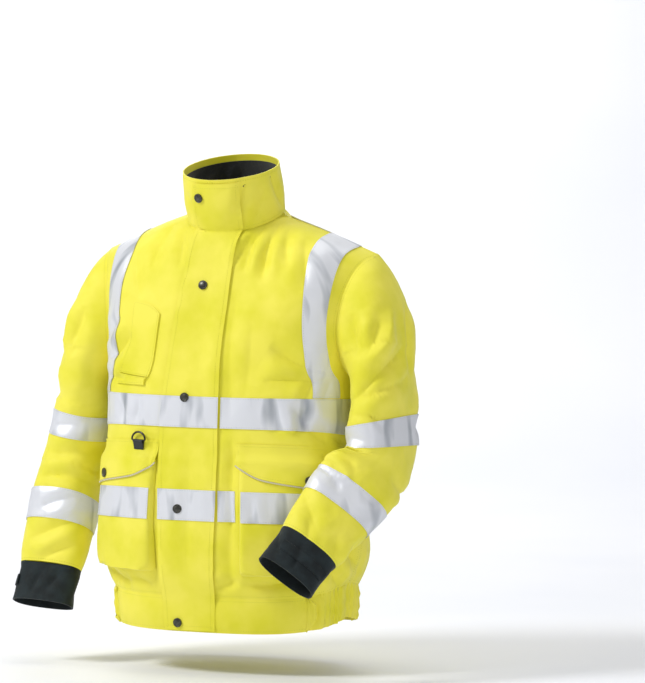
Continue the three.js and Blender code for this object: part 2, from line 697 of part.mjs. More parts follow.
function stationRings(side, stations, forearm, count) {
  const loop = armholeLoop(side, 0);
  const rings = [loop];
  const level = new THREE.Vector3(0, -1, 0);
  const bent = new THREE.Vector3(...forearm.front).normalize();
  const axis = new THREE.Vector3(...forearm.to).sub(new THREE.Vector3(...forearm.from)).normalize();
  for (const station of stations) {
    const outer = new THREE.Vector3(station.ox, station.oy, station.oz);
    const inner = new THREE.Vector3(station.ix, station.iy, station.iz);
    const centre = outer.clone().add(inner).multiplyScalar(0.5);
    const out = outer.clone().sub(inner).normalize();
    const front = level.clone().lerp(bent, station.turn);
    front.addScaledVector(out, -front.dot(out)).normalize();
    const ring = ringPoints(centre, front, out, station.wide, outer.distanceTo(inner) / 2, count);
    rings.push(ring.map((point, i) => point.lerp(loop[i], station.loop)));
  }
  const bentFront = bent.clone().addScaledVector(axis, -bent.dot(axis)).normalize();
  const out = bentFront.clone().cross(axis).normalize();
  if (out.x * side < 0) out.negate();
  for (let i = 0; i <= forearm.steps; i += 1) {
    const t = i / forearm.steps;
    const centre = new THREE.Vector3(...forearm.from).lerp(new THREE.Vector3(...forearm.to), t);
    const slack = i === forearm.steps ? -3 : 0;
    const wide = mix(forearm.wide[0], forearm.wide[1], t) + slack;
    rings.push(ringPoints(centre, bentFront, out, wide, mix(forearm.thin[0], forearm.thin[1], t) + slack, count));
  }
  return { rings, bentFront, out, axis };
}

// Tape round a sleeve, between two places along its rings.
function sleeveTape(name, grid, normals, from, to) {
  const ringAt = (place, lift) => {
    const low = Math.min(Math.floor(place), grid.length - 2);
    const t = place - low;
    return grid[low].map((point, i) => {
      const normal = normals[low][i].clone().lerp(normals[low + 1][i], t).normalize();
      return point.clone().lerp(grid[low + 1][i], t).addScaledVector(normal, lift);
    });
  };
  const places = between(grid.map((_, i) => i), from, to);
  const rings = (lift) => places.map((place) => ringAt(place, lift));
  wall(name, rings(SLEEVE_TAPE_LIFT + TRIM), rings(SLEEVE_TAPE_LIFT), tape(), true);
}

function sleeve(name, side, stations, forearm, cuff, tapes) {
  const count = (UPPER_ROWS.length - 1) * 2;
  const { rings, bentFront, out, axis } = stationRings(side, stations, forearm, count);
  const normals = gridNormals(rings, true);
  const outward = normals[6][0].x * side < 0 ? 1 : -1;
  for (const row of normals) {
    for (const normal of row) normal.multiplyScalar(outward);
  }
  wall(`sleeve_${name}`, rings, moved(rings, normals, -CLOTH), cloth(), true);
  for (const band of tapes) {
    sleeveTape(`tape_sleeve_${band.name}_${name}`, rings, normals, band.from, band.to);
  }
  const start = new THREE.Vector3(...forearm.to).addScaledVector(axis, GAP * 2);
  const stops = [0, 0.35, 0.7, 1];
  const cuffRings = (inset) => stops.map((t) => {
    const centre = start.clone().addScaledVector(axis, cuff.reach * t);
    const waist = 1.5 * Math.sin(t * Math.PI);
    return ringPoints(centre, bentFront, out, cuff.wide - inset - waist, cuff.thin - inset - waist, count);
  });
  wall(`cuff_${name}`, cuffRings(0), cuffRings(CUFF_CLOTH), knit(), true);
  const tabLift = GAP + 0.2;
  cuffTab(name, cuffRings(-tabLift), cuffRings(-tabLift - CUFF_TAB.cloth));
}

// A strap that lies on the cuff between two of its rings and stands out past the side.
function cuffTab(name, inner, outer) {
  const strip = (rings) => CUFF_TAB.rows.map((t) => {
    const row = CUFF_TAB.columns.map((c) => rings[1][c].clone().lerp(rings[2][c], t));
    const ahead = row[0].clone().sub(row[1]).normalize();
    row[0].addScaledVector(ahead, CUFF_TAB.free);
    return row;
  });
  wall(`cuff_tab_${name}`, strip(outer), strip(inner), knit());
}

// Snaps: domed studs of gunmetal.
function snap(name, at, normal) {
  const profile = [
    new THREE.Vector2(0, 0),
    new THREE.Vector2(SNAP_RADIUS, 0),
    new THREE.Vector2(SNAP_RADIUS, 0.9),
    new THREE.Vector2(SNAP_RADIUS * 0.75, 1.9),
    new THREE.Vector2(SNAP_RADIUS * 0.35, 2.3),
    new THREE.Vector2(0, 2.4),
  ];
  const mesh = new THREE.Mesh(new THREE.LatheGeometry(profile, 12), material(GUN_METAL, 0.45, 0.8));
  mesh.name = name;
  mesh.position.copy(at).addScaledVector(normal, 0.6);
  mesh.quaternion.setFromUnitVectors(new THREE.Vector3(0, 1, 0), normal);
  jacket.add(mesh);
}

function snaps() {
  SNAPS.forEach(({ x, v, sink }, i) => {
    const column = columnAt(-1, x, v);
    const free = along(FLAP_EDGES, 'v', v, 'free');
    const sewn = along(FLAP_EDGES, 'v', v, 'sewn');
    const t = (x - free) / (sewn - free);
    const onTape = [TAPE_LOW, TAPE_HIGH].some(([low, high]) => v > low - 8 && v < high + 8);
    const ease = STORM_FLAP_EASE * (1 - t);
    const lift = STORM_FLAP_LIFT + STORM_FLAP_CLOTH + ease - sink + (onTape ? TRIM + GAP : 0);
    snap(`snap_${i + 1}`, bodyPoint(-1, -1, column, v, lift), plainNormal(-1, -1, column, v));
  });
  const onFlap = { column: 0.56, v: -420 };
  for (const [name, side] of [['right', -1], ['left', 1]]) {
    const lift = pocketFace(onFlap.v) + POCKET_FLAP_LIFT + POCKET_FLAP_CLOTH;
    snap(
      `pocket_snap_${name}`,
      bodyPoint(-1, side, onFlap.column, onFlap.v, lift),
      plainNormal(-1, side, onFlap.column, onFlap.v),
    );
  }
}

// D-ring on its webbing tab, sewn into the seam over the right pocket flap.
const RING = { x: -107, v: FLAP_TOP - 2, wire: 1.8, half: 14, rise: 15, tab: 20, leg: 14 };

function ringFrame() {
  const column = columnAt(-1, RING.x, RING.v);
  const normal = plainNormal(-1, -1, column, RING.v);
  const up = new THREE.Vector3(0, 0, 1).addScaledVector(normal, -normal.z).normalize();
  const across = up.clone().cross(normal).normalize();
  const origin = bodyPoint(-1, -1, column, RING.v, 2.2);
  return { normal, up, across, origin };
}

function dRing() {
  const { normal, up, across, origin } = ringFrame();
  const seat = 3.4;
  const tabShape = new THREE.Shape();
  tabShape.moveTo(-RING.leg, 0.4);
  tabShape.lineTo(-RING.leg, 2.6);
  tabShape.lineTo(-4.2, 5.2);
  tabShape.absarc(0, seat, 3.1, Math.PI * 0.68, -Math.PI * 0.5, true);
  tabShape.lineTo(-RING.leg, 0.4);
  const hole = new THREE.Path();
  hole.absarc(0, seat, RING.wire + 0.5, 0, Math.PI * 2, false);
  tabShape.holes.push(hole);
  const tab = new THREE.Mesh(
    new THREE.ExtrudeGeometry(tabShape, { depth: RING.tab, bevelEnabled: false, curveSegments: 10 }),
    material(BLACK, 0.9, 0),
  );
  tab.name = 'd_ring_tab';
  const basis = new THREE.Matrix4().makeBasis(up, normal, up.clone().cross(normal));
  tab.quaternion.setFromRotationMatrix(basis);
  tab.position.copy(origin).addScaledVector(up.clone().cross(normal), -RING.tab / 2);
  jacket.add(tab);
  const line = [];
  const push = (a, b) => line.push(origin.clone()
    .addScaledVector(across, a)
    .addScaledVector(up, b)
    .addScaledVector(normal, seat));
  push(-RING.half + 2, 0);
  push(RING.half - 2, 0);
  const arcSteps = 14;
  for (let i = 0; i <= arcSteps; i += 1) {
    const angle = i / arcSteps * Math.PI;
    push(RING.half * Math.cos(angle), 3 + (RING.rise - 3) * Math.sin(angle));
  }
  closedRing('d_ring', line, normal, RING.wire, 8);
}

// A closed loop of wire through the points of a flat outline.
function closedRing(name, line, normal, radius, sides) {
  const rings = line.map((point, i) => {
    const before = line[(i + line.length - 1) % line.length];
    const after = line[(i + 1) % line.length];
    const ahead = after.clone().sub(before).normalize();
    const out = ahead.clone().cross(normal).normalize();
    return Array.from({ length: sides }, (_, k) => {
      const angle = k / sides * Math.PI * 2;
      return point.clone()
        .addScaledVector(out, radius * Math.cos(angle))
        .addScaledVector(normal, radius * Math.sin(angle));
    });
  });
  const points = rings.flat();
  const faces = [];
  for (let r = 0; r < rings.length; r += 1) {
    const a = r * sides;
    const b = ((r + 1) % rings.length) * sides;
    for (let k = 0; k < sides; k += 1) {
      const next = (k + 1) % sides;
      faces.push([a + k, a + next, b + next], [a + k, b + next, b + k]);
    }
  }
  addBody(name, points, faces, material(METAL, 0.3, 1));
}

// Hood, let down on the back: a nape lining on the back panel and a crown shell that stands off
// it as an open pouch.
const HOOD = { half: 214, corner: -70, middle: -98, tip: -262, pouch: 42, lift: 6.3 };
const HOOD_ACROSS = 14;
const HOOD_DOWN = 7;
const NAPE = { top: 6, foot: -248, lift: 4.4, neckLift: 1.8, rows: 8 };

// A place on the back at x and z, lifted off it.
function onBack(x, z, lift) {
  const { column, v } = placeAt(1, x, z);
  return bodyPoint(1, x < 0 ? -1 : 1, column, v, lift);
}

// Half the hood's width at a height between its mouth and its tip.
function hoodHalf(t) {
  return mix(HOOD.half * Math.max(1 - t, 0) ** 0.72, HOOD.half * (1 - t), 0.35) + 3;
}

// A place on the crown at a share of its half width and of its fall from mouth to tip.
function crownPoint(s, t, lift) {
  const mouth = mix(HOOD.middle, HOOD.corner, s ** 2);
  const open = HOOD.pouch * (1 - s ** 2) ** 0.8 * (1 - t ** 3);
  return onBack(s * hoodHalf(t), mix(mouth, HOOD.tip, t), HOOD.lift + open + lift);
}

function hoodShell() {
  const grid = (lift) => Array.from({ length: HOOD_DOWN + 1 }, (_, r) => (
    Array.from({ length: HOOD_ACROSS + 1 }, (__, c) => (
      crownPoint(c / HOOD_ACROSS * 2 - 1, r / HOOD_DOWN * 0.985, lift)
    ))
  ));
  wall('hood_shell', grid(CLOTH), grid(0), cloth());
}

// How far the nape lining lies off the back at a height near the neck.
function napeLift(z) {
  const step = (NAPE.top - NAPE.foot) / NAPE.rows;
  return mix(NAPE.neckLift, NAPE.lift, clamp((NAPE.top - z) / step, 0, 1));
}

function hoodLining() {
  const grid = (lift) => Array.from({ length: NAPE.rows + 1 }, (_, r) => (
    Array.from({ length: HOOD_ACROSS + 1 }, (__, c) => {
      const s = c / HOOD_ACROSS * 2 - 1;
      const top = mix(NAPE.top, HOOD.corner + NAPE.top, Math.abs(s) ** 1.5);
      const z = mix(top, NAPE.foot, r / NAPE.rows);
      const half = hoodHalf(clamp((HOOD.corner - z) / (HOOD.corner - HOOD.tip), 0, 1)) - 1;
      const stand = r === 0 && Math.abs(s) < 0.4 ? NAPE.neckLift : NAPE.lift;
      return onBack(s * half, z, stand + lift);
    })
  ));
  wall('hood_lining', grid(LINING_CLOTH), grid(0), lining());
}

// A pale strip down the middle of the nape lining.
function hoodStrip() {
  const half = 10;
  const step = (NAPE.top - NAPE.foot) / NAPE.rows;
  const grid = (lift) => [0, 1, 2, 3, 4].map((r) => [-half, 0, half].map((x) => {
    const z = NAPE.top - r * step;
    return onBack(x, z, napeLift(z) + LINING_CLOTH + GAP + lift);
  }));
  wall('hood_strip', grid(TRIM), grid(0), material(PALE_YELLOW, 0.9, 0));
}

// A hanging loop across the nape, bowed off the lining between its sewn ends.
function hangerLoop() {
  const half = 24;
  const bow = 5;
  const seat = -1.3;
  const grid = (lift) => [-13, -5].map((z) => [-1, -0.6, -0.2, 0.2, 0.6, 1].map((s) => {
    const stand = seat + bow * (1 - s ** 2);
    return onBack(s * half, z, napeLift(z) + LINING_CLOTH + stand + lift);
  }));
  wall('hanger_loop', grid(TRIM), grid(0), cloth());
}

// The draw tab that lies on the crown above its tip.
function hoodTab() {
  const width = 24;
  const grid = (lift) => [0.7, 0.78, 0.86, 0.94].map((t) => [0, 0.5, 1].map((share) => (
    crownPoint(share * width / hoodHalf(t), t, CLOTH + 2 * GAP + lift)
  )));
  wall('hood_tab', grid(LINING_CLOTH), grid(0), cloth());
}

bodyPanels();
hemBand();
collar();
stormFlap();
for (const [name, side] of [['right', -1], ['left', 1]]) {
  bellowsPocket(`pocket_${name}`, side);
  pocketFlaps(name, side);
}
chestPocket();
bodyTapes();
braces();
sleeve('left', 1, LEFT_STATIONS, LEFT_FOREARM, LEFT_CUFF, [
  { name: 'upper', from: 7, to: 8 },
  { name: 'lower', from: 11.9, to: 13.9 },
]);
sleeve('right', -1, RIGHT_STATIONS, RIGHT_FOREARM, RIGHT_CUFF, [
  { name: 'upper', from: 7, to: 8 },
  { name: 'lower', from: 11, to: 13.5 },
]);
snaps();
dRing();
hoodShell();
hoodLining();
hoodStrip();
hangerLoop();
hoodTab();

export default jacket;
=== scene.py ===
"""Hi-vis work jacket, filled out as worn, with its hood let down: cloth, tape, pockets, snaps and ring."""

import math
from collections import namedtuple

import bmesh
import bpy
import numpy as np
from mathutils import Matrix, Vector, noise
from mathutils.bvhtree import BVHTree
from mathutils.kdtree import KDTree


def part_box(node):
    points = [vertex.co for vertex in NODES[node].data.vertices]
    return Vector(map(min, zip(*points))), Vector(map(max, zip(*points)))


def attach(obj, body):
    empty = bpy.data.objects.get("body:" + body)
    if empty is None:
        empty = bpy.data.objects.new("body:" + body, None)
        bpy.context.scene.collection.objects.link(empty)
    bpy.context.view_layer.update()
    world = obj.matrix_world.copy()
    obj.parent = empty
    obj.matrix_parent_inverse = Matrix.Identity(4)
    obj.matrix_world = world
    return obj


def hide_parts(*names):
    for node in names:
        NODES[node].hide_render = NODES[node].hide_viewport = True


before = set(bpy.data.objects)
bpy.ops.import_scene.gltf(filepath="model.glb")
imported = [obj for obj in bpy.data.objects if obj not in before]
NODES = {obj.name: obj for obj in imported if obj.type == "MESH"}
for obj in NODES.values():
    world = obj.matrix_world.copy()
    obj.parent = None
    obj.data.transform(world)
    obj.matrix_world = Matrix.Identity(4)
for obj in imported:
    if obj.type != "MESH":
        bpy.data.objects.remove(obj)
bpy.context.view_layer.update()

bl_info = {
    "name": "Hi-vis work jacket",
    "version": (1, 0, 0),
    "blender": (4, 5, 0),
    "location": "3D View > Sidebar > Jacket",
    "description": "Makes the cloth, tape, pockets, hood and metal of a hi-vis work jacket",
    "category": "Object",
}

MM = 0.001
ATTRIBUTE = "UVMap"
SHARPEST_FOLD = math.radians(55)

# The photograph's frame and the place of the camera round the jacket.
IMAGE = (645, 683)
PIXELS_PER_METRE = 610.0
NECK_IN_IMAGE = (237.0, 213.8)
CAMERA_TURN = math.radians(25)
CAMERA_RISE = math.radians(4)
LENS_MM = 300.0
SENSOR_MM = 36.0

# A crease runs from one end to the other. On the body it is placed as seen square on from one side,
# by how far across and how high it lies. On a sleeve it is placed by the distance down the sleeve and
# the turn round it, from the front towards the outside. Inward depths are negative. All are in
# millimetres and degrees.
Crease = namedtuple("Crease", "view a0 b0 a1 b1 wide deep bow")

BODY_CREASES = (
    # From the neck down over the wearer's left chest
    Crease("front", 64, -20, 40, -84, 7, -2.6, 3),
    Crease("front", 78, -6, 56, -92, 9, -4.2, 5),
    Crease("front", 92, -8, 92, -104, 9, -3.8, 4),
    Crease("front", 108, -16, 134, -84, 10, -3.2, 3),
    Crease("front", 140, -34, 166, -120, 12, -2.6, -4),
    # From the neck over the right chest, softer
    Crease("front", -70, -14, -60, -88, 10, -2.2, -3),
    Crease("front", -96, -14, -112, -92, 11, -2.2, 4),
    Crease("front", -150, -60, -120, -140, 13, -1.8, 5),
    # Long soft waves beside the storm flap
    Crease("front", 50, -112, 60, -330, 15, -2.0, 4),
    Crease("front", 84, -150, 78, -300, 18, -1.6, -5),
    Crease("front", -6, -352, -12, -600, 13, -1.5, 3),
    Crease("front", 60, -352, 58, -470, 9, -2.4, -2),
    Crease("front", 66, -470, 60, -606, 12, -2.6, 3),
    Crease("front", -82, -352, -78, -440, 10, -2.2, 2),
    Crease("front", -84, -500, -80, -612, 12, -2.4, -3),
    # From the armpits across the chest
    Crease("front", 206, -250, 118, -206, 13, -4.2, -6),
    Crease("front", 204, -268, 110, -262, 12, -3.4, 4),
    Crease("front", -206, -248, -134, -190, 12, -4.0, 6),
    Crease("front", -206, -272, -140, -268, 10, -2.8, -3),
    # Where the tape buckles under the arms
    Crease("front", 156, -296, 204, -366, 11, -6.0, 5),
    Crease("front", 186, -262, 170, -302, 8, -3.0, 2),
    Crease("front", 202, -258, 190, -300, 8, -3.0, -2),
    Crease("front", 130, -292, 138, -344, 8, -2.4, 2),
    Crease("front", -162, -166, -200, -214, 9, -3.4, 3),
    Crease("front", -172, -240, -200, -272, 8, -2.8, -2),
    Crease("front", -152, -298, -140, -346, 8, -2.6, 2),
    Crease("front", -110, -296, -118, -336, 7, -1.8, -2),
    Crease("front", 62, -438, 63, -500, 6, -2.2, 0),
    Crease("front", 176, -300, 158, -352, 7, -3.6, -3),
    Crease("front", 196, -330, 206, -400, 9, -3.0, 2),
    # Under the pockets, above the hem
    Crease("front", 76, -594, 190, -584, 12, -4.6, 5),
    Crease("front", -190, -578, -128, -602, 11, -4.2, 4),
    Crease("front", -128, -590, -84, -606, 10, -2.6, -3),
    Crease("front", 30, -602, 72, -586, 10, -2.4, 2),
    # Sides
    Crease("left", -70, -350, 60, -392, 15, -4.6, 8),
    Crease("left", -90, -420, 40, -452, 13, -3.4, -6),
    Crease("left", -50, -520, 30, -590, 14, -4.6, 6),
    Crease("left", -84, -560, -30, -606, 11, -3.8, 4),
    Crease("left", 40, -480, 92, -560, 14, -3.2, -5),
    Crease("right", 64, -344, -40, -388, 15, -4.2, -8),
    Crease("right", 84, -430, -30, -452, 13, -3.2, 6),
    Crease("right", 40, -516, -26, -590, 14, -4.4, -6),
    Crease("right", 84, -556, 30, -606, 11, -3.6, 4),
    # Back
    Crease("back", 206, -262, 96, -330, 15, -5.0, 7),
    Crease("back", 200, -300, 60, -388, 14, -3.2, -8),
    Crease("back", -206, -256, -104, -338, 15, -4.8, -7),
    Crease("back", -198, -308, -80, -360, 13, -3.0, 6),
    Crease("back", 150, -470, 30, -520, 15, -3.2, 8),
    Crease("back", -160, -500, -10, -556, 16, -3.6, -8),
    Crease("back", 70, -352, 76, -430, 12, -1.8, 3),
    Crease("back", -36, -360, -30, -436, 13, -1.6, -3),
    Crease("back", 130, -562, 90, -612, 10, -3.0, 3),
    Crease("back", 30, -570, 40, -612, 10, -2.2, 2),
    Crease("back", -70, -574, -96, -612, 10, -2.6, -3),
    Crease("back", -150, -560, -128, -612, 10, -3.2, 3),
    Crease("back", 188, -110, 150, -214, 13, -3.0, 5),
    Crease("back", -188, -112, -152, -206, 13, -3.0, -5),
)

LEFT_SLEEVE_CREASES = (
    Crease("sleeve", 12, 0, 96, -4, 10, -4.2, 2),
    Crease("sleeve", 26, 60, 108, 14, 9, 3.4, 5),
    Crease("sleeve", 40, 34, 96, 8, 9, -3.2, 3),
    Crease("sleeve", 74, 84, 168, -14, 13, -5.4, 7),
    Crease("sleeve", 124, 90, 184, -38, 11, -3.2, 5),
    Crease("sleeve", 16, 118, 120, 96, 11, -3.0, 4),
    Crease("sleeve", 30, 168, 130, 140, 13, -3.6, -5),
    Crease("sleeve", 20, -34, 110, -60, 11, -3.2, 3),
    Crease("sleeve", 150, 200, 214, 130, 13, -3.4, 5),
    Crease("sleeve", 228, -70, 268, 26, 12, -3.6, 6),
    Crease("sleeve", 262, -84, 300, 18, 11, -4.8, 6),
    Crease("sleeve", 290, -96, 322, 10, 10, -5.0, 5),
    Crease("sleeve", 318, -92, 342, -6, 9, -4.2, 4),
    Crease("sleeve", 344, -90, 366, 6, 10, -3.4, -4),
    Crease("sleeve", 300, 210, 338, 126, 13, -3.0, 4),
    Crease("sleeve", 256, 176, 300, 96, 14, -2.6, -6),
    Crease("sleeve", 392, -60, 452, 34, 12, -2.6, 6),
    Crease("sleeve", 404, 100, 466, 172, 12, -3.0, 5),
    Crease("sleeve", 436, -20, 486, 26, 9, -2.2, -3),
    Crease("sleeve", 430, 60, 482, 120, 10, -2.4, 3),
)

RIGHT_SLEEVE_CREASES = (
    Crease("sleeve", 14, 8, 92, 2, 10, -3.4, 2),
    Crease("sleeve", 30, 62, 116, 22, 12, -3.8, 5),
    Crease("sleeve", 90, 80, 176, 6, 14, -3.8, -6),
    Crease("sleeve", 22, 120, 130, 100, 12, -3.0, 4),
    Crease("sleeve", 30, 172, 140, 140, 13, -3.4, -5),
    Crease("sleeve", 18, -36, 108, -62, 11, -3.2, 3),
    Crease("sleeve", 180, -62, 236, 20, 13, -3.2, 6),
    Crease("sleeve", 236, -80, 284, 26, 13, -4.6, 7),
    Crease("sleeve", 276, -92, 316, 34, 12, -5.0, 6),
    Crease("sleeve", 316, -96, 352, 30, 11, -4.6, 5),
    Crease("sleeve", 350, -88, 384, 12, 10, -3.8, -4),
    Crease("sleeve", 262, 190, 318, 104, 14, -3.0, 5),
    Crease("sleeve", 330, 206, 380, 120, 13, -2.8, -5),
    Crease("sleeve", 386, -70, 436, 40, 12, -3.4, 6),
    Crease("sleeve", 424, -84, 476, 28, 12, -4.0, 5),
    Crease("sleeve", 468, -60, 508, 46, 10, -3.2, 4),
    Crease("sleeve", 452, 80, 506, 150, 12, -2.8, 4),
    Crease("sleeve", 494, -10, 536, 60, 9, -2.6, 3),
)

CUFF_CREASES = (
    Crease("sleeve", 6, -60, 50, -20, 7, -2.6, 3),
    Crease("sleeve", 12, 0, 60, 30, 8, -3.0, -3),
    Crease("sleeve", 2, 70, 44, 110, 8, -2.6, 2),
    Crease("sleeve", 10, 160, 56, 200, 8, -2.6, 3),
    Crease("sleeve", 18, -120, 60, -96, 8, -2.4, -2),
)

HOOD_CREASES = (
    Crease("back", 168, -84, 40, -150, 12, -4.2, 8),
    Crease("back", -168, -84, -44, -150, 12, -4.2, -8),
    Crease("back", 120, -118, 26, -196, 10, -4.6, 6),
    Crease("back", -112, -118, -20, -204, 10, -4.0, -6),
    Crease("back", 60, -150, 14, -238, 8, -3.4, 4),
    Crease("back", -56, -160, -10, -244, 8, -3.2, -4),
    Crease("back", 20, -112, 8, -196, 11, -2.6, 3),
)

COLLAR_CREASES = (
    Crease("front", 62, 70, 40, 2, 8, -2.4, 3),
    Crease("front", 76, 50, 60, -8, 7, -2.6, -2),
    Crease("front", -60, 40, -40, -6, 8, -2.0, -2),
    Crease("left", -40, 80, 10, 10, 9, -2.2, 4),
    Crease("right", 40, 70, -10, 10, 9, -2.0, 4),
    Crease("back", 40, 70, 60, 20, 9, -1.8, 3),
    Crease("back", -30, 80, -44, 26, 9, -1.8, 3),
)

# Middle lines of the sleeves from the shoulder to the cuff, in millimetres.
LEFT_ARM = ((222, 8, -150), (255, 6, -215), (268, -6, -300), (272, -22, -370), (265, -94, -420), (216, -184, -522), (188, -235, -579))
RIGHT_ARM = ((-222, 10, -150), (-255, 12, -215), (-270, 20, -320), (-296, -2, -440), (-301, -30, -478), (-306, -76, -588), (-309, -102, -648))


# The record for the flat cut of a piece of cloth: width and length in millimetres, area in square
# metres, how it is held, and what it lies on. A tube's width is its cut all round. Nothing in the
# script fills it in.
Cut = namedtuple("Cut", "width length area held rests_on", defaults=("hung", ()))


class JacketSizes(bpy.types.PropertyGroup):
    cloth: bpy.props.FloatProperty(
        name="Cloth", description="Thickness of the padded outer cloth", default=2 * MM,
        min=0.5 * MM, max=4 * MM, unit="LENGTH", precision=4,
    )
    tape: bpy.props.FloatProperty(
        name="Tape", description="Thickness of the sewn-on tape", default=0.8 * MM,
        min=0.3 * MM, max=2 * MM, unit="LENGTH", precision=4,
    )
    creases: bpy.props.FloatProperty(
        name="Creases", description="How deep the hand-placed creases are, as a share", default=2.4,
        min=0, max=2, subtype="FACTOR",
    )
    crumple: bpy.props.FloatProperty(
        name="Crumple", description="Height of the small uneven crumples between the creases",
        default=2.3 * MM, min=0, max=4 * MM, unit="LENGTH", precision=4,
    )
    stitch: bpy.props.FloatProperty(
        name="Stitch", description="Length of one stitch", default=3.2 * MM,
        min=1 * MM, max=8 * MM, unit="LENGTH", precision=4,
    )
    snap: bpy.props.FloatProperty(
        name="Snap", description="Radius of a snap's cap", default=7.5 * MM,
        min=4 * MM, max=10 * MM, unit="LENGTH", precision=4,
    )


def linear(text):
    """An sRGB hex colour as linear red, green and blue."""
    parts = [int(text[i:i + 2], 16) / 255 for i in (0, 2, 4)]
    return tuple(c / 12.92 if c <= 0.04045 else ((c + 0.055) / 1.055) ** 2.4 for c in parts)


def colour(name, description, text):
    return bpy.props.FloatVectorProperty(
        name=name, description=description, default=linear(text), size=3, min=0, max=1, subtype="COLOR",
    )


class JacketColours(bpy.types.PropertyGroup):
    yellow: colour("Yellow", "Fluorescent yellow of the outer cloth", "ECE250")
    deep_yellow: colour("Deep yellow", "The same cloth where it is handled and folded", "DCD62C")
    silver: colour("Silver", "Reflective tape", "DEE0E5")
    # The tape's darker grey is painted shade of its small creases, laid in streaks along it.
    grey: colour("Grey", "Reflective tape where its beads are worn or turned away", "989EA5")
    dark: colour("Dark", "Cuffs", "11191B")
    black: colour("Black", "Collar lining and webbing", "101316")
    gunmetal: colour("Gunmetal", "Snaps", "4A4A45")
    steel: colour("Steel", "The D-shaped ring", "3C3A38")
    piping: colour("Piping", "Cord along the pocket flaps", "D6CFB4")
    off_white: colour("Off-white", "Hood lining", "E3DFCC")
    pale_yellow: colour("Pale yellow", "Strip down the hood lining", "E8ECB0")


def sizes():
    return bpy.context.scene.jacket_sizes


def colours():
    return bpy.context.scene.jacket_colours


# Materials


def add_node(material, kind, settings=(), values=(), links=()):
    """Adds a node: its settings, its inputs' values, and links from (node, output) to its inputs."""
    node = material.node_tree.nodes.new(kind)
    for key, value in dict(settings).items():
        setattr(node, key, value)
    for key, value in dict(values).items():
        node.inputs[key].default_value = value
    for key, (source, output) in dict(links).items():
        material.node_tree.links.new(source.outputs[output], node.inputs[key])
    return node


def new_material(name):
    material = bpy.data.materials.new(name)
    material.use_nodes = True
    material.node_tree.nodes.clear()
    return material


def finish_surface(material, values, links):
    surface = add_node(material, "ShaderNodeBsdfPrincipled", values=values, links=links)
    add_node(material, "ShaderNodeOutputMaterial", links={"Surface": (surface, "BSDF")})
    return surface


def mixed_colour(material, factor, low, high, edges=(0.35, 0.65)):
    """Two colours mixed by a factor, between two of its values."""
    ramp = add_node(material, "ShaderNodeValToRGB", links={"Fac": factor})
    ramp.color_ramp.elements[0].position = edges[0]
    ramp.color_ramp.elements[1].position = edges[1]
    ramp.color_ramp.elements[0].color = (*low, 1)
    ramp.color_ramp.elements[1].color = (*high, 1)
    return ramp, "Color"


def woven(material, pitch, place):
    """Height of a plain weave: crossing ribs, a rib to each pitch."""
    ribs = []
    for direction in ("X", "Y"):
        wave = add_node(
            material, "ShaderNodeTexWave",
            settings={"wave_type": "BANDS", "bands_direction": direction, "wave_profile": "SIN"},
            values={"Scale": math.tau / (20 * pitch), "Distortion": 0.6, "Detail": 1.0, "Detail Scale": 0.4},
            links={"Vector": place},
        )
        ribs.append((wave, "Fac"))
    over = add_node(material, "ShaderNodeMath", settings={"operation": "MULTIPLY"})
    for i, (wave, output) in enumerate(ribs):
        material.node_tree.links.new(wave.outputs[output], over.inputs[i])
    return over, "Value"


def noise_field(material, size, detail, place, rough=0.5):
    """Soft uneven noise whose blots are about size metres across."""
    field = add_node(
        material, "ShaderNodeTexNoise",
        values={"Scale": 1 / size, "Detail": detail, "Roughness": rough},
        links={"Vector": place},
    )
    return field, "Fac"


def bumped(material, height, distance, strength, under=None):
    links = {"Height": height}
    if under is not None:
        links["Normal"] = under
    bump = add_node(
        material, "ShaderNodeBump", values={"Distance": distance, "Strength": strength}, links=links,
    )
    return bump, "Normal"


def cloth_places(material):
    """The cloth's own lengthways and crossways places, and the place in space."""
    where = add_node(material, "ShaderNodeTexCoord")
    return (where, "UV"), (where, "Object")


def coated_polyester():
    # Fluorescent yellow polyester, oxford-woven and coated inside: a flat, very bright lemon colour with a
    # faint satin sheen and a cloth grain. The dye glows in daylight; the weak yellow emission that stands
    # for it is painted glow, which lifts the cloth's shade so that it stays bright and saturated there.
    # The real yarns are 0.4 mm apart and are drawn at 1.4 mm so that they show.
    material = new_material("fluorescent_coated_polyester")
    own, space = cloth_places(material)
    tone = noise_field(material, 70 * MM, 3, space)
    base = mixed_colour(material, tone, colours().deep_yellow, colours().yellow, (0.3, 0.62))
    weave = woven(material, 1.4 * MM, own)
    grain = bumped(material, weave, 0.12 * MM, 0.5)
    rumple = noise_field(material, 16 * MM, 4, space, 0.55)
    rumpled = bumped(material, rumple, 0.9 * MM, 0.35, grain)
    finish_surface(
        material,
        {
            "Roughness": 0.62, "IOR": 1.5, "Sheen Weight": 0.12, "Sheen Roughness": 0.5,
            # Weak yellow emission: painted glow that lifts the cloth's shade.
            "Specular IOR Level": 0.35, "Emission Color": (*linear("E8E600"), 1), "Emission Strength": 0.05,
        },
        {"Base Color": base, "Normal": rumpled},
    )
    return material


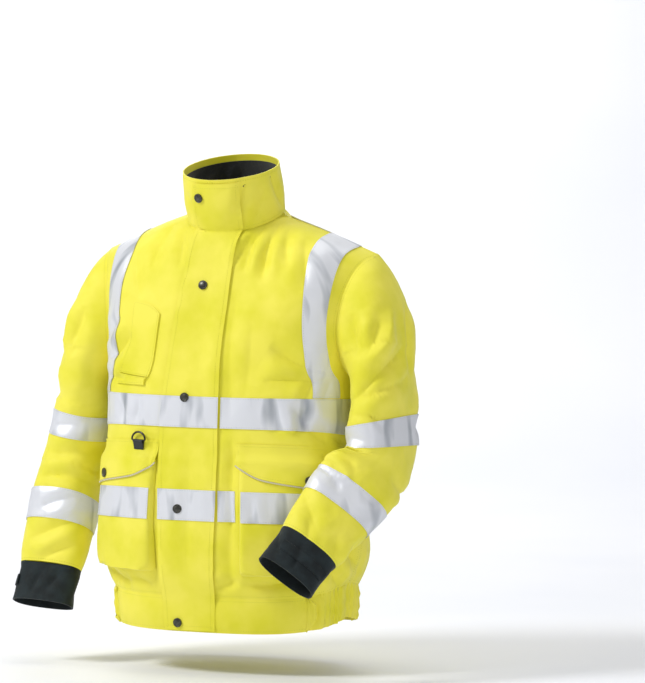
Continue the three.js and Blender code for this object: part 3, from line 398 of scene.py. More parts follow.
def reflective_tape():
    # Glass beads bonded on aluminised cloth. By day it is a soft grey silver with a broad, even
    # gloss, and it takes sharp small creases that turn light and dark. Streaks of darker grey along
    # its length are painted shade of those creases. The beads are far too small to show, so a 0.9 mm
    # grain stands for them.
    material = new_material("glass_bead_reflective_tape")
    own, space = cloth_places(material)
    stretch = add_node(
        material, "ShaderNodeMapping", values={"Scale": (1, 0.22, 1)}, links={"Vector": own},
    )
    # Painted crease shade: darker grey streaks, stretched along the tape.
    crease_shade_streaks = noise_field(material, 26 * MM, 2, (stretch, "Vector"), 0.45)
    base = mixed_colour(material, crease_shade_streaks, colours().grey, colours().silver, (0.26, 0.46))
    beads = noise_field(material, 0.9 * MM, 1, space)
    beaded = bumped(material, beads, 0.05 * MM, 0.5)
    wrinkle = add_node(
        material, "ShaderNodeTexNoise",
        settings={"noise_type": "RIDGED_MULTIFRACTAL"},
        values={"Scale": 1 / (24 * MM), "Detail": 2.0, "Roughness": 0.4, "Distortion": 0.4},
        links={"Vector": (stretch, "Vector")},
    )
    creased = bumped(material, (wrinkle, "Fac"), 1.2 * MM, 0.45, beaded)
    finish_surface(
        material,
        {"Roughness": 0.5, "Metallic": 0.25, "IOR": 1.5},
        {"Base Color": base, "Normal": creased},
    )
    return material


def cuff_cloth():
    # Near-black brushed polyester on the cuffs: matt, with a cool sheen where it turns away.
    material = new_material("brushed_dark_polyester")
    own, space = cloth_places(material)
    tone = noise_field(material, 22 * MM, 4, space)
    base = mixed_colour(material, tone, colours().dark, linear("1E2A2D"), (0.4, 0.75))
    weave = woven(material, 1.1 * MM, own)
    grain = bumped(material, weave, 0.12 * MM, 0.6)
    rumple = noise_field(material, 11 * MM, 3, space)
    rumpled = bumped(material, rumple, 1.0 * MM, 0.35, grain)
    finish_surface(
        material,
        {"Roughness": 0.75, "Sheen Weight": 0.1, "Sheen Roughness": 0.4, "Specular IOR Level": 0.3},
        {"Base Color": base, "Normal": rumpled},
    )
    return material


def black_fleece():
    # Short black fleece inside the collar: it swallows light and shows only a soft nap.
    material = new_material("black_collar_fleece")
    own, space = cloth_places(material)
    tone = noise_field(material, 4 * MM, 3, space, 0.7)
    base = mixed_colour(material, tone, colours().black, linear("23272A"), (0.45, 0.85))
    nap = bumped(material, tone, 0.6 * MM, 0.7)
    finish_surface(
        material,
        {"Roughness": 0.95, "Sheen Weight": 0.3, "Sheen Roughness": 0.6, "Specular IOR Level": 0.2},
        {"Base Color": base, "Normal": nap},
    )
    return material


def black_webbing():
    # Nylon webbing of the ring's tab: ribs of 1.6 mm across it, with a dull gloss.
    material = new_material("black_nylon_webbing")
    own, space = cloth_places(material)
    ribs = add_node(
        material, "ShaderNodeTexWave",
        settings={"wave_type": "BANDS", "bands_direction": "Z"},
        values={"Scale": math.tau / (20 * 1.6 * MM), "Distortion": 0.3},
        links={"Vector": space},
    )
    base = mixed_colour(material, (ribs, "Fac"), colours().black, linear("2A2E31"), (0.2, 0.9))
    ribbed = bumped(material, (ribs, "Fac"), 0.3 * MM, 0.7)
    finish_surface(material, {"Roughness": 0.55}, {"Base Color": base, "Normal": ribbed})
    return material


def gunmetal_plate():
    # Snap caps: brass with a dark nickel plate, pressed and polished, worn a little brighter in spots.
    material = new_material("dark_nickel_plate")
    own, space = cloth_places(material)
    wear = noise_field(material, 3 * MM, 4, space, 0.6)
    base = mixed_colour(material, wear, colours().gunmetal, linear("6E6C64"), (0.5, 0.8))
    finish_surface(material, {"Roughness": 0.34, "Metallic": 0.85}, {"Base Color": base})
    return material


def dark_steel():
    # The ring's bent steel wire, black-oxide plated, with drawn lines and a narrow gloss.
    material = new_material("black_oxide_steel")
    own, space = cloth_places(material)
    wear = noise_field(material, 2.4 * MM, 5, space, 0.65)
    base = mixed_colour(material, wear, colours().steel, linear("77736B"), (0.5, 0.85))
    drawn = bumped(material, wear, 0.05 * MM, 0.3)
    finish_surface(material, {"Roughness": 0.3, "Metallic": 0.9}, {"Base Color": base, "Normal": drawn})
    return material


def piping_cord():
    # Corded piping in a pale cotton-look tape, twisted at a 2 mm pitch.
    material = new_material("pale_corded_piping")
    own, space = cloth_places(material)
    twist = add_node(
        material, "ShaderNodeTexWave",
        settings={"wave_type": "BANDS", "bands_direction": "DIAGONAL"},
        values={"Scale": math.tau / (20 * 2 * MM), "Distortion": 0.5},
        links={"Vector": space},
    )
    base = mixed_colour(material, (twist, "Fac"), linear("BDB79C"), colours().piping, (0.1, 0.8))
    corded = bumped(material, (twist, "Fac"), 0.2 * MM, 0.5)
    finish_surface(material, {"Roughness": 0.75}, {"Base Color": base, "Normal": corded})
    return material


def taffeta(name, base_colour, deep):
    # Lining taffeta: a thin, dense plain weave of matt off-white yarn that shows soft small rumples.
    material = new_material(name)
    own, space = cloth_places(material)
    tone = noise_field(material, 24 * MM, 4, space)
    base = mixed_colour(material, tone, linear(deep), base_colour, (0.3, 0.6))
    weave = woven(material, 1.2 * MM, own)
    grain = bumped(material, weave, 0.08 * MM, 0.5)
    rumple = noise_field(material, 13 * MM, 4, space, 0.6)
    rumpled = bumped(material, rumple, 1.2 * MM, 0.4, grain)
    finish_surface(
        material,
        {"Roughness": 0.7, "Sheen Weight": 0.15, "Specular IOR Level": 0.35},
        {"Base Color": base, "Normal": rumpled},
    )
    return material


def sewing_thread(name, base_colour):
    # Spun polyester thread: a fine twist with a soft gloss.
    material = new_material(name)
    own, space = cloth_places(material)
    twist = noise_field(material, 0.8 * MM, 2, space)
    base = mixed_colour(material, twist, tuple(c * 0.75 for c in base_colour), tuple(base_colour), (0.3, 0.6))
    finish_surface(material, {"Roughness": 0.5}, {"Base Color": base})
    return material


def stage_paper():
    # Matt white paper roll of a studio, very slightly mottled.
    material = new_material("white_backdrop_paper")
    own, space = cloth_places(material)
    tone = noise_field(material, 0.6, 2, space)
    base = mixed_colour(material, tone, linear("F2F4FA"), linear("F8F9FD"), (0.3, 0.7))
    finish_surface(material, {"Roughness": 0.9, "Specular IOR Level": 0.2}, {"Base Color": base})
    return material


MAKERS = {
    "yellow_cloth": coated_polyester,
    "reflective_tape": reflective_tape,
    "dark_rib": cuff_cloth,
    "black_fleece": black_fleece,
    "black_webbing": black_webbing,
    "gunmetal": gunmetal_plate,
    "ring_steel": dark_steel,
    "piping": piping_cord,
    "hood_lining": lambda: taffeta("off_white_taffeta", colours().off_white, "CFC9B2"),
    "pale_strip": lambda: taffeta("pale_yellow_taffeta", colours().pale_yellow, "D6DB8E"),
    "yellow_thread": lambda: sewing_thread("yellow_sewing_thread", linear("D2D02E")),
    "grey_thread": lambda: sewing_thread("grey_sewing_thread", linear("C4C8CC")),
    "backdrop": stage_paper,
}
made = {}


def finish_of(name):
    if name not in made:
        made[name] = MAKERS[name]()
    return made[name]


# Meshes as arrays


def places(mesh):
    flat = np.empty(len(mesh.vertices) * 3)
    mesh.vertices.foreach_get("co", flat)
    return flat.reshape(-1, 3)


def normals(mesh):
    flat = np.empty(len(mesh.vertices) * 3)
    mesh.vertices.foreach_get("normal", flat)
    return flat.reshape(-1, 3)


def put_back(mesh, points):
    mesh.vertices.foreach_set("co", np.ascontiguousarray(points, dtype=float).ravel())
    mesh.update()


def edge_vertices(mesh):
    """Which vertices lie on an open edge of a sheet."""
    count = np.zeros(len(mesh.edges), dtype=int)
    loops = np.empty(len(mesh.loops), dtype=int)
    mesh.loops.foreach_get("edge_index", loops)
    np.add.at(count, loops, 1)
    pairs = np.empty(len(mesh.edges) * 2, dtype=int)
    mesh.edges.foreach_get("vertices", pairs)
    return np.unique(pairs.reshape(-1, 2)[count == 1])


def activate(obj):
    bpy.ops.object.select_all(action="DESELECT")
    obj.select_set(True)
    bpy.context.view_layer.objects.active = obj


def apply_modifier(obj, kind, **settings):
    activate(obj)
    modifier = obj.modifiers.new(kind.lower(), kind)
    for key, value in settings.items():
        setattr(modifier, key, value)
    bpy.ops.object.modifier_apply(modifier=modifier.name)


def new_object(name, mesh):
    obj = bpy.data.objects.new(name, mesh)
    bpy.context.scene.collection.objects.link(obj)
    return obj


def node_mesh(node):
    """A copy of a CAD node's mesh in the jacket's own frame, with its loose triangles joined."""
    bm = bmesh.new()
    bm.from_mesh(NODES[node].data)
    bm.transform(NODES[node].matrix_world)
    bmesh.ops.remove_doubles(bm, verts=bm.verts[:], dist=0.01 * MM)
    return bm


def body_middle(point):
    return Vector((0, 0, point.z))


def middle_of(node):
    low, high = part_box(node)
    centre = Vector([(a + b) / 2 for a, b in zip(low, high)])
    return lambda point: centre


def outer_sheet(node, wall, middle, name):
    """The outward side of a CAD wall as an open sheet of four-sided faces."""
    bm = node_mesh(node)
    bm.normal_update()
    tree = BVHTree.FromBMesh(bm)
    rims = []
    for face in bm.faces:
        start = face.calc_center_median() - face.normal * 0.02 * MM
        distance = tree.ray_cast(start, -face.normal, 0.05)[3]
        if distance is None or distance > 2.3 * wall:
            rims.append(face)
    bmesh.ops.delete(bm, geom=rims, context="FACES")
    loose = set(bm.faces)
    islands = []
    while loose:
        island = [loose.pop()]
        for face in island:
            for edge in face.edges:
                if edge.is_manifold and edge.calc_face_angle() > SHARPEST_FOLD:
                    continue
                for other in edge.link_faces:
                    if other in loose:
                        loose.remove(other)
                        island.append(other)
        facing = sum(
            face.calc_area() * face.normal.dot(face.calc_center_median() - middle(face.calc_center_median()))
            for face in island
        )
        islands.append((facing, island))
    largest = max(facing for facing, island in islands)
    for facing, island in islands:
        if facing < 0.05 * largest:
            bmesh.ops.delete(bm, geom=island, context="FACES")
    bmesh.ops.join_triangles(
        bm, faces=bm.faces[:], angle_face_threshold=math.radians(80), angle_shape_threshold=math.radians(80),
    )
    mesh = bpy.data.meshes.new(name)
    bm.to_mesh(mesh)
    bm.free()
    return new_object(name, mesh)


def subdivided(obj, levels):
    apply_modifier(
        obj, "SUBSURF", levels=levels, render_levels=levels, boundary_smooth="PRESERVE_CORNERS",
    )


def thickened(obj, thickness):
    apply_modifier(obj, "SOLIDIFY", thickness=thickness, offset=-1.0, use_rim=True)


# Creases and crumples


def crease_line(row, across, along):
    """Height of one crease: sharp along its middle, with a low ridge on each side of a trough."""
    run = np.array([row.a1 - row.a0, row.b1 - row.b0], dtype=float)
    length = np.hypot(*run)
    t = ((across - row.a0) * run[0] + (along - row.b0) * run[1]) / length ** 2
    side = ((across - row.a0) * run[1] - (along - row.b0) * run[0]) / length
    mid = np.clip(np.abs(2 * t - 1), 0, 1)
    side = side - row.bow * (1 - mid ** 2)
    fade = 1 - mid ** 2.5
    trough = 0.45 * np.exp(-(side / row.wide) ** 2) + 0.55 * np.exp(-np.abs(side) / (0.4 * row.wide))
    ridges = np.exp(-((np.abs(side) - 2 * row.wide) / row.wide) ** 2)
    return row.deep * fade * (trough - 0.32 * ridges)


VIEWS = {
    "front": (0, (0, -1, 0)),
    "back": (0, (0, 1, 0)),
    "left": (1, (1, 0, 0)),
    "right": (1, (-1, 0, 0)),
}


def seen_creases(rows, points, directions):
    """Height of creases placed as seen square on from a side, fading where the cloth turns away."""
    height = np.zeros(len(points))
    for row in rows:
        axis, view = VIEWS[row.view]
        facing = np.clip(directions @ np.array(view), 0, 1)
        height += facing ** 0.8 * crease_line(row, points[:, axis] / MM, points[:, 2] / MM)
    return height * MM


def arm_places(line, points, front):
    """Distance down an arm's middle line, turn round it in degrees, and distance from it."""
    line = np.array(line, dtype=float) * MM
    steps = np.diff(line, axis=0)
    spans = np.linalg.norm(steps, axis=1)
    before = np.concatenate([[0], np.cumsum(spans)[:-1]])
    best = np.full(len(points), np.inf)
    down = np.zeros(len(points))
    offset = np.zeros_like(points)
    axis = np.zeros_like(points)
    for i, step in enumerate(steps):
        low = -np.inf if i == 0 else 0
        high = np.inf if i == len(steps) - 1 else 1
        t = np.clip((points - line[i]) @ step / spans[i] ** 2, low, high)
        away = points - (line[i] + t[:, None] * step)
        distance = np.linalg.norm(away, axis=1)
        nearer = distance < best
        best[nearer] = distance[nearer]
        down[nearer] = (before[i] + t * spans[i])[nearer]
        offset[nearer] = away[nearer]
        axis[nearer] = step / spans[i]
    ahead = np.array(front) - axis * (axis @ np.array(front))[:, None]
    ahead /= np.linalg.norm(ahead, axis=1)[:, None]
    out = np.cross(axis, ahead)
    outward = 1 if line[0, 0] > 0 else -1
    out *= np.sign(np.sum(out[:, 0])) * outward
    turn = np.degrees(np.arctan2(np.sum(offset * out, axis=1), np.sum(offset * ahead, axis=1)))
    return down / MM, turn, best / MM


def arm_creases(rows, down, turn, radius):
    height = np.zeros(len(down))
    for row in rows:
        middle = (row.b0 + row.b1) / 2
        round_it = (turn - middle + 180) % 360 - 180
        mean = 0.5 * (row.b1 - row.b0)
        scale = math.radians(1) * np.median(radius)
        flat = row._replace(b0=-mean * scale, b1=mean * scale)
        height += crease_line(flat, down, round_it * scale)
    return height * MM


def crumples(points, size, seed):
    """Uneven soft crumples: ridged noise that comes and goes across the cloth, from -1 to 1."""
    shift = Vector((seed * 17.3, seed * 5.1, seed * 9.7))
    height = np.empty(len(points))
    for i, point in enumerate(points):
        place = Vector(point) / size + shift
        ridge = 1 - 2 * abs(noise.noise(place))
        soft = noise.noise(place * 0.47 + shift)
        height[i] = 0.55 * (ridge ** 3 - 0.25) * (0.6 + 0.8 * soft) + 0.5 * soft
    return height


def edge_hold(mesh, points, reach, least):
    """1 inside the cloth, falling to a small share along its sewn edges, which hold it flat."""
    edge = edge_vertices(mesh)
    if len(edge) == 0:
        return np.ones(len(points))
    tree = KDTree(len(edge))
    for i, index in enumerate(edge):
        tree.insert(points[index], i)
    tree.balance()
    distance = np.array([tree.find(point)[2] for point in points])
    t = np.clip(distance / reach, 0, 1)
    return least + (1 - least) * t * t * (3 - 2 * t)


def pull_edge(obj, others, reach, close):
    """Closes a seam: open edges of a sheet that lie near those of others are drawn onto them."""
    targets = []
    for other in others:
        target_points = places(other.data)
        targets.extend(target_points[edge_vertices(other.data)])
    tree = KDTree(len(targets))
    for i, point in enumerate(targets):
        tree.insert(point, i)
    tree.balance()
    mesh = obj.data
    points = places(mesh)
    edge = edge_vertices(mesh)
    pulls = {}
    for index in edge:
        place, _, distance = tree.find(points[index])
        if distance < close:
            pulls[index] = np.array(place) - points[index]
    if not pulls:
        return
    pulled = list(pulls)
    near = KDTree(len(pulled))
    for i, index in enumerate(pulled):
        near.insert(points[index], i)
    near.balance()
    for k, point in enumerate(points):
        _, i, distance = near.find(point)
        if distance < reach:
            share = 1 - distance / reach
            points[k] = point + pulls[pulled[i]] * share ** 2 * (3 - 2 * share)
    put_back(mesh, points)


class Carrier:
    """A cloth before and after its creases, which carries what is sewn on it."""

    def __init__(self, objects, before):
        points = []
        faces = []
        after = []
        for obj, rest in zip(objects, before):
            start = len(points)
            points.extend(map(Vector, rest))
            after.append(places(obj.data))
            faces.extend(tuple(start + v for v in p.vertices) for p in obj.data.polygons)
        self.faces = faces
        self.rest_points = np.array(points)
        self.after_points = np.concatenate(after)
        self.rest = BVHTree.FromPolygons(points, faces)
        self.after = BVHTree.FromPolygons([Vector(p) for p in self.after_points], faces)

    def carry(self, obj, least=0.0):
        """Moves a sheet with the cloth, and lifts it where it would come nearer than least."""
        points = places(obj.data)
        moved = np.empty_like(points)
        for k, point in enumerate(points):
            place, normal, index, _ = self.rest.find_nearest(Vector(point))
            corners = self.faces[index]
            weights = np.array([
                1 / (1e-5 + (self.rest_points[c] - np.array(place)) @ (self.rest_points[c] - np.array(place)))
                for c in corners
            ])
            shift = (self.after_points[list(corners)] - self.rest_points[list(corners)])
            moved[k] = point + weights @ shift / weights.sum()
            if least:
                under, out, _, _ = self.after.find_nearest(Vector(moved[k]))
                lift = (Vector(moved[k]) - under).dot(out)
                if lift < least:
                    moved[k] = moved[k] + np.array(out) * (least - lift)
        put_back(obj.data, moved)

    def under(self, point, direction):
        """Where a line meets the creased cloth, and its normal there."""
        start = Vector(point) - Vector(direction) * 60 * MM
        hit, normal, _, _ = self.after.ray_cast(start, Vector(direction), 0.2)
        if hit is None:
            raise RuntimeError(f"nothing lies under {tuple(point)}")
        return hit, normal


# Finishing pieces


def pattern_map(obj, across, along, around=None):
    """Writes the cloth's own crossways and lengthways places, in metres, as its UV map."""
    mesh = obj.data
    layer = mesh.uv_layers.new(name=ATTRIBUTE)
    index = np.empty(len(mesh.loops), dtype=int)
    mesh.loops.foreach_get("vertex_index", index)
    u = across[index]
    v = along[index]
    if around is not None:
        starts = np.empty(len(mesh.polygons), dtype=int)
        totals = np.empty(len(mesh.polygons), dtype=int)
        mesh.polygons.foreach_get("loop_start", starts)
        mesh.polygons.foreach_get("loop_total", totals)
        first = np.repeat(u[starts], totals)
        u = first + (u - first + around / 2) % around - around / 2
    layer.data.foreach_set("uv", np.stack([u, v], axis=1).ravel())


def flat_map(obj):
    """The UV map of a piece on the body: round the body and up it."""
    points = places(obj.data)
    face = np.where(points[:, 1] < 0, 1.35, 1.5)
    across = 0.18 * np.arctan2(points[:, 0], -points[:, 1] * face)
    pattern_map(obj, across, points[:, 2], 0.36 * math.pi)


def finish_piece(obj, finish, node, body="jacket", smooth=35):
    """Gives a piece its material and slot, and lets it stand for its CAD nodes."""
    activate(obj)
    bpy.ops.object.shade_smooth_by_angle(angle=math.radians(smooth))
    obj.data.materials.clear()
    obj.data.materials.append(finish_of(finish))
    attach(obj, body)
    if node:
        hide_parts(node)


FINISHED = {}
BODY_PANELS = ("front_left", "front_right", "back")
PANEL_LEVELS = 3
SMALL_LEVELS = 2


def body_field(points, directions, seed):
    """How far the body's cloth moves in or out at each place."""
    height = seen_creases(BODY_CREASES, points, directions) * sizes().creases
    low = np.clip((-0.30 - points[:, 2]) / 0.25, 0, 1)
    rough = sizes().crumple * (0.55 + 0.65 * low)
    height += rough * crumples(points, 62 * MM, seed)
    height += 0.28 * rough * crumples(points, 21 * MM, seed + 1)
    gathers = np.clip((-0.50 - points[:, 2]) / 0.11, 0, 1) ** 2
    side = np.clip((np.abs(points[:, 0]) - 0.10) / 0.06, 0, 1)
    turn = np.arctan2(points[:, 0], -points[:, 1])
    puckers = np.sin(turn * 46 + 1.7 * np.sin(turn * 17)) + 0.5 * np.sin(turn * 71 + 2)
    return height + 1.3 * MM * gathers * side * puckers


class JACKET_OT_body(bpy.types.Operator):
    """Make the fronts and the back"""
    bl_idname = "jacket.body"
    bl_label = "Fronts and back"

    def execute(self, context):
        sheets = []
        rest = []
        for node in BODY_PANELS:
            obj = outer_sheet(node, sizes().cloth, body_middle, f"{node}_cloth")
            subdivided(obj, PANEL_LEVELS)
            flat_map(obj)
            points = places(obj.data)
            directions = normals(obj.data)
            rest.append(points.copy())
            hold = edge_hold(obj.data, points, 26 * MM, 0.3)
            height = body_field(points, directions, 3) * hold
            put_back(obj.data, points + directions * height[:, None])
            sheets.append(obj)
        pull_edge(sheets[0], [sheets[2]], 16 * MM, 6 * MM)
        pull_edge(sheets[1], [sheets[2]], 16 * MM, 6 * MM)
        FINISHED["body"] = Carrier(sheets, rest)
        FINISHED["body_sheets"] = sheets
        FINISHED["body_rests"] = rest
        for obj, node in zip(sheets, BODY_PANELS):
            sew_rows(obj, 4 * MM, "yellow_thread", f"{node}_stitches")
        return {"FINISHED"}


def sleeve_sheet(side, line, rows, seed):
    node = f"sleeve_{side}"
    obj = outer_sheet(node, sizes().cloth, middle_of(node), f"{node}_cloth")
    subdivided(obj, PANEL_LEVELS)
    points = places(obj.data)
    directions = normals(obj.data)
    down, turn, radius = arm_places(line, points, (0, -1, 0.25))
    pattern_map(obj, np.radians(turn) * 0.075, down * MM, math.tau * 0.075)
    rest = points.copy()
    inside = np.clip(-directions[:, 0] * (1 if side == "left" else -1), 0, 1)
    height = arm_creases(rows, down, turn, radius) * sizes().creases
    busy = 0.7 + 0.7 * np.exp(-((down - 330) / 110) ** 2)
    height += sizes().crumple * busy * crumples(points, 52 * MM, seed)
    height += 0.3 * sizes().crumple * busy * crumples(points, 18 * MM, seed + 1)
    height *= edge_hold(obj.data, points, 22 * MM, 0.3) * (1 - 0.7 * inside)
    put_back(obj.data, points + directions * height[:, None])
    pull_edge(obj, FINISHED["body_sheets"], 26 * MM, 14 * MM)
    return obj, rest


class JACKET_OT_sleeves(bpy.types.Operator):
    """Make both sleeves"""
    bl_idname = "jacket.sleeves"
    bl_label = "Sleeves"

    def execute(self, context):
        arms = (("left", LEFT_ARM, LEFT_SLEEVE_CREASES, 11), ("right", RIGHT_ARM, RIGHT_SLEEVE_CREASES, 23))
        for side, line, rows, seed in arms:
            obj, rest = sleeve_sheet(side, line, rows, seed)
            FINISHED[f"sleeve_{side}"] = Carrier([obj], [rest])
            FINISHED[f"sleeve_{side}_sheet"] = obj
            sew_rows(obj, 4 * MM, "yellow_thread", f"sleeve_{side}_stitches")
        return {"FINISHED"}


# Sewing


def edge_lines(mesh):
    """The open edges of a sheet as lists of vertices, one for each stretch between corners."""
    bm = bmesh.new()
    bm.from_mesh(mesh)
    bm.verts.ensure_lookup_table()
    open_edges = {edge for edge in bm.edges if edge.is_boundary}
    lines = []
    while open_edges:
        edge = open_edges.pop()
        line = [edge.verts[0].index, edge.verts[1].index]
        for end in (1, 0):
            while True:
                tip = bm.verts[line[-1] if end else line[0]]
                onward = [e for e in tip.link_edges if e in open_edges]
                if not onward:
                    break
                open_edges.remove(onward[0])
                after = onward[0].other_vert(tip).index
                line = [*line, after] if end else [after, *line]
        lines.append(line)
    inward = {}
    for line in lines:
        for index in line:
            vert = bm.verts[index]
            middle = sum((face.calc_center_median() for face in vert.link_faces), Vector())
            inward[index] = middle / max(len(vert.link_faces), 1) - vert.co
    bm.free()
    return lines, inward


def split_at_corners(line, points, sharpest=38):
    """Parts of a line between its corners, where it turns by more than an angle within 12 mm."""
    parts = []
    part = [line[0]]
    for k in range(1, len(line) - 1):
        part.append(line[k])
        before = points[line[k]] - points[line[max(k - 3, 0)]]
        after = points[line[min(k + 3, len(line) - 1)]] - points[line[k]]
        size = np.linalg.norm(before) * np.linalg.norm(after)
        turn = math.degrees(math.acos(np.clip(before @ after / max(size, 1e-12), -1, 1)))
        if turn > sharpest and len(part) > 3:
            parts.append(part)
            part = [line[k]]
    part.append(line[-1])
    parts.append(part)
    return parts


def stitch_places(path, ways, pitch):
    """Evenly spaced places along a path, with the way on and the way out at each."""
    steps = np.linalg.norm(np.diff(path, axis=0), axis=1)
    reach = np.concatenate([[0], np.cumsum(steps)])
    count = int(reach[-1] / pitch)
    if count < 3:
        return []
    stops = (np.arange(count) + 0.5) * reach[-1] / count
    at = np.stack([np.interp(stops, reach, path[:, i]) for i in range(3)], axis=1)
    out = np.stack([np.interp(stops, reach, ways[:, i]) for i in range(3)], axis=1)
    ahead = np.stack([np.interp(stops + pitch / 4, reach, path[:, i]) for i in range(3)], axis=1)
    behind = np.stack([np.interp(stops - pitch / 4, reach, path[:, i]) for i in range(3)], axis=1)
    onward = ahead - behind
    onward /= np.maximum(np.linalg.norm(onward, axis=1), 1e-9)[:, None]
    out -= onward * np.sum(out * onward, axis=1)[:, None]
    out /= np.maximum(np.linalg.norm(out, axis=1), 1e-9)[:, None]
    return list(zip(at, onward, out))


def stitched(name, stops, length, finish):
    """One piece with a small pointed stitch at every place."""
    points = []
    faces = []
    half = 0.45 * length
    thick = 0.38 * MM
    for at, onward, out in stops:
        side = np.cross(onward, out)
        start = len(points)
        points += [
            at - onward * half, at + side * thick, at + out * thick,
            at - side * thick, at - out * thick, at + onward * half,
        ]
        for a, b in ((1, 2), (2, 3), (3, 4), (4, 1)):
            faces += [(start, start + b, start + a), (start + 5, start + a, start + b)]
    mesh = bpy.data.meshes.new(name)
    mesh.from_pydata([tuple(p) for p in points], [], faces)
    obj = new_object(name, mesh)
    finish_piece(obj, finish, None, smooth=80)
    return obj


STITCHES = {}


def sew_rows(obj, inset, finish, name, keep=None):
    """Keeps the places of a row of stitches inside each open edge of a sheet."""
    mesh = obj.data
    points = places(mesh)
    out = normals(mesh)
    lines, inward = edge_lines(mesh)
    stops = []
    for line in lines:
        for part in split_at_corners(line, points):
            path = []
            ways = []
            for index in part:
                toward = np.array(inward[index])
                toward /= max(np.linalg.norm(toward), 1e-9)
                place = points[index] + toward * inset
                if keep is None or keep(place):
                    path.append(place + out[index] * 0.12 * MM)
                    ways.append(out[index])
            if len(path) > 3:
                stops += stitch_places(np.array(path), np.array(ways), sizes().stitch * 1.3)
    STITCHES.setdefault(name, (finish, []))[1].extend(stops)


class JACKET_OT_sewing(bpy.types.Operator):
    """Lay the rows of stitches along the sewn edges"""
    bl_idname = "jacket.sewing"
    bl_label = "Stitches"

    def execute(self, context):
        for name, (finish, stops) in STITCHES.items():
            if stops:
                stitched(name, stops, sizes().stitch, finish)
        return {"FINISHED"}


# What lies on the cloth


def overlay(node, wall, carrier, finish, levels=PANEL_LEVELS, least=None, inset=2 * MM, middle=body_middle,
            thread=None, rough=0.0):
    """A piece sewn flat on the cloth, carried by it, thickened and edged with stitches."""
    obj = outer_sheet(node, wall, middle, f"{node}_cloth")
    subdivided(obj, levels)
    flat_map(obj)
    if node.startswith("brace"):
        straighten_brace(obj)
    if rough:
        points = places(obj.data)
        height = rough * crumples(points, 15 * MM, 31)
        put_back(obj.data, points + normals(obj.data) * height[:, None])
    carrier.carry(obj, (wall + 0.25 * MM) if least is None else least)
    if thread:
        sew_rows(obj, inset, thread, f"{node}_stitches")
    thickened(obj, wall)
    finish_piece(obj, finish, node)
    return obj


def straighten_brace(obj):
    """Moves a brace outward over the chest, where the armhole runs in, so that it hangs straight."""
    tree = FINISHED["body"].rest
    points = places(obj.data)
    for k, point in enumerate(points):
        if point[1] > 0:
            continue
        under, out, _, _ = tree.find_nearest(Vector(point))
        lift = (Vector(point) - under).dot(out)
        share = np.clip((point[2] + 0.29) / 0.23, 0, 1)
        shift = 14 * MM * math.sin(share * math.pi)
        under, out, _, _ = tree.find_nearest(Vector(point) + Vector((math.copysign(shift, point[0]), 0, 0)))
        points[k] = under + out * lift
    put_back(obj.data, points)


class JACKET_OT_tapes(bpy.types.Operator):
    """Make the reflective tape on the body, the pockets and the sleeves"""
    bl_idname = "jacket.tapes"
    bl_label = "Reflective tape"

    def execute(self, context):
        body = FINISHED["body"]
        flat = [
            "tape_upper_front_left", "tape_upper_front_right", "tape_lower_front_left",
            "tape_lower_front_right", "tape_lower_side_left", "tape_lower_side_right",
            "tape_upper_back", "tape_lower_back", "brace_left", "brace_right",
        ]
        for node in flat:
            lift = 1.4 * MM if node.startswith("brace") else None
            overlay(node, sizes().tape, body, "reflective_tape", least=lift, thread="grey_thread", rough=0.25 * MM)
        for node in ("tape_upper_flap", "tape_lower_flap"):
            overlay(
                node, sizes().tape, FINISHED["storm_flap"], "reflective_tape",
                thread="grey_thread", rough=0.25 * MM,
            )
        for side in ("left", "right"):
            overlay(
                f"tape_pocket_{side}", sizes().tape, FINISHED[f"pocket_{side}"], "reflective_tape",
                thread="grey_thread", rough=0.25 * MM,
            )
            for place in ("upper", "lower"):
                node = f"tape_sleeve_{place}_{side}"
                overlay(
                    node, sizes().tape, FINISHED[f"sleeve_{side}"], "reflective_tape",
                    middle=middle_of(node), thread="grey_thread", rough=0.25 * MM,
                )
        return {"FINISHED"}


class JACKET_OT_storm_flap(bpy.types.Operator):
    """Make the storm flap over the front closing"""
    bl_idname = "jacket.storm_flap"
    bl_label = "Storm flap"

    def execute(self, context):
        obj = outer_sheet("storm_flap", 1.6 * MM, body_middle, "storm_flap_cloth")
        subdivided(obj, PANEL_LEVELS)
        flat_map(obj)
        rest = places(obj.data).copy()
        FINISHED["front"].carry(obj, 1.9 * MM)
        points = places(obj.data)
        height = 0.7 * MM * crumples(points, 34 * MM, 41) * edge_hold(obj.data, points, 10 * MM, 0.4)
        put_back(obj.data, points + normals(obj.data) * height[:, None])
        FINISHED["storm_flap"] = Carrier([obj], [rest])
        sew_rows(obj, 7 * MM, "yellow_thread", "storm_flap_stitches")
        thickened(obj, 1.5 * MM)
        finish_piece(obj, "yellow_cloth", "storm_flap")
        return {"FINISHED"}


def solid_copy(node, name, levels, sharp=52):
    """A finer copy of a whole CAD solid, with its folded edges kept."""
    bm = node_mesh(node)
    bmesh.ops.join_triangles(
        bm, faces=bm.faces[:], angle_face_threshold=math.radians(25), angle_shape_threshold=math.radians(80),
    )
    crease = bm.edges.layers.float.get("crease_edge") or bm.edges.layers.float.new("crease_edge")
    for edge in bm.edges:
        if len(edge.link_faces) == 2 and edge.calc_face_angle() > math.radians(sharp):
            edge[crease] = 0.75
    mesh = bpy.data.meshes.new(name)
    bm.to_mesh(mesh)
    bm.free()
    obj = new_object(name, mesh)
    apply_modifier(obj, "SUBSURF", levels=levels, render_levels=levels)
    return obj


POCKET_CREASES = {
    "right": (
        Crease("front", -104, -446, -116, -492, 6, -2.4, 2),
        Crease("front", -92, -500, -150, -556, 10, -2.0, 5),
        Crease("front", -152, -440, -142, -500, 8, -1.8, -3),
    ),
    "left": (
        Crease("front", 98, -448, 110, -496, 7, -3.2, 3),
        Crease("front", 124, -444, 132, -490, 6, -1.8, -2),
        Crease("front", 84, -520, 140, -560, 10, -2.2, -5),
    ),
}


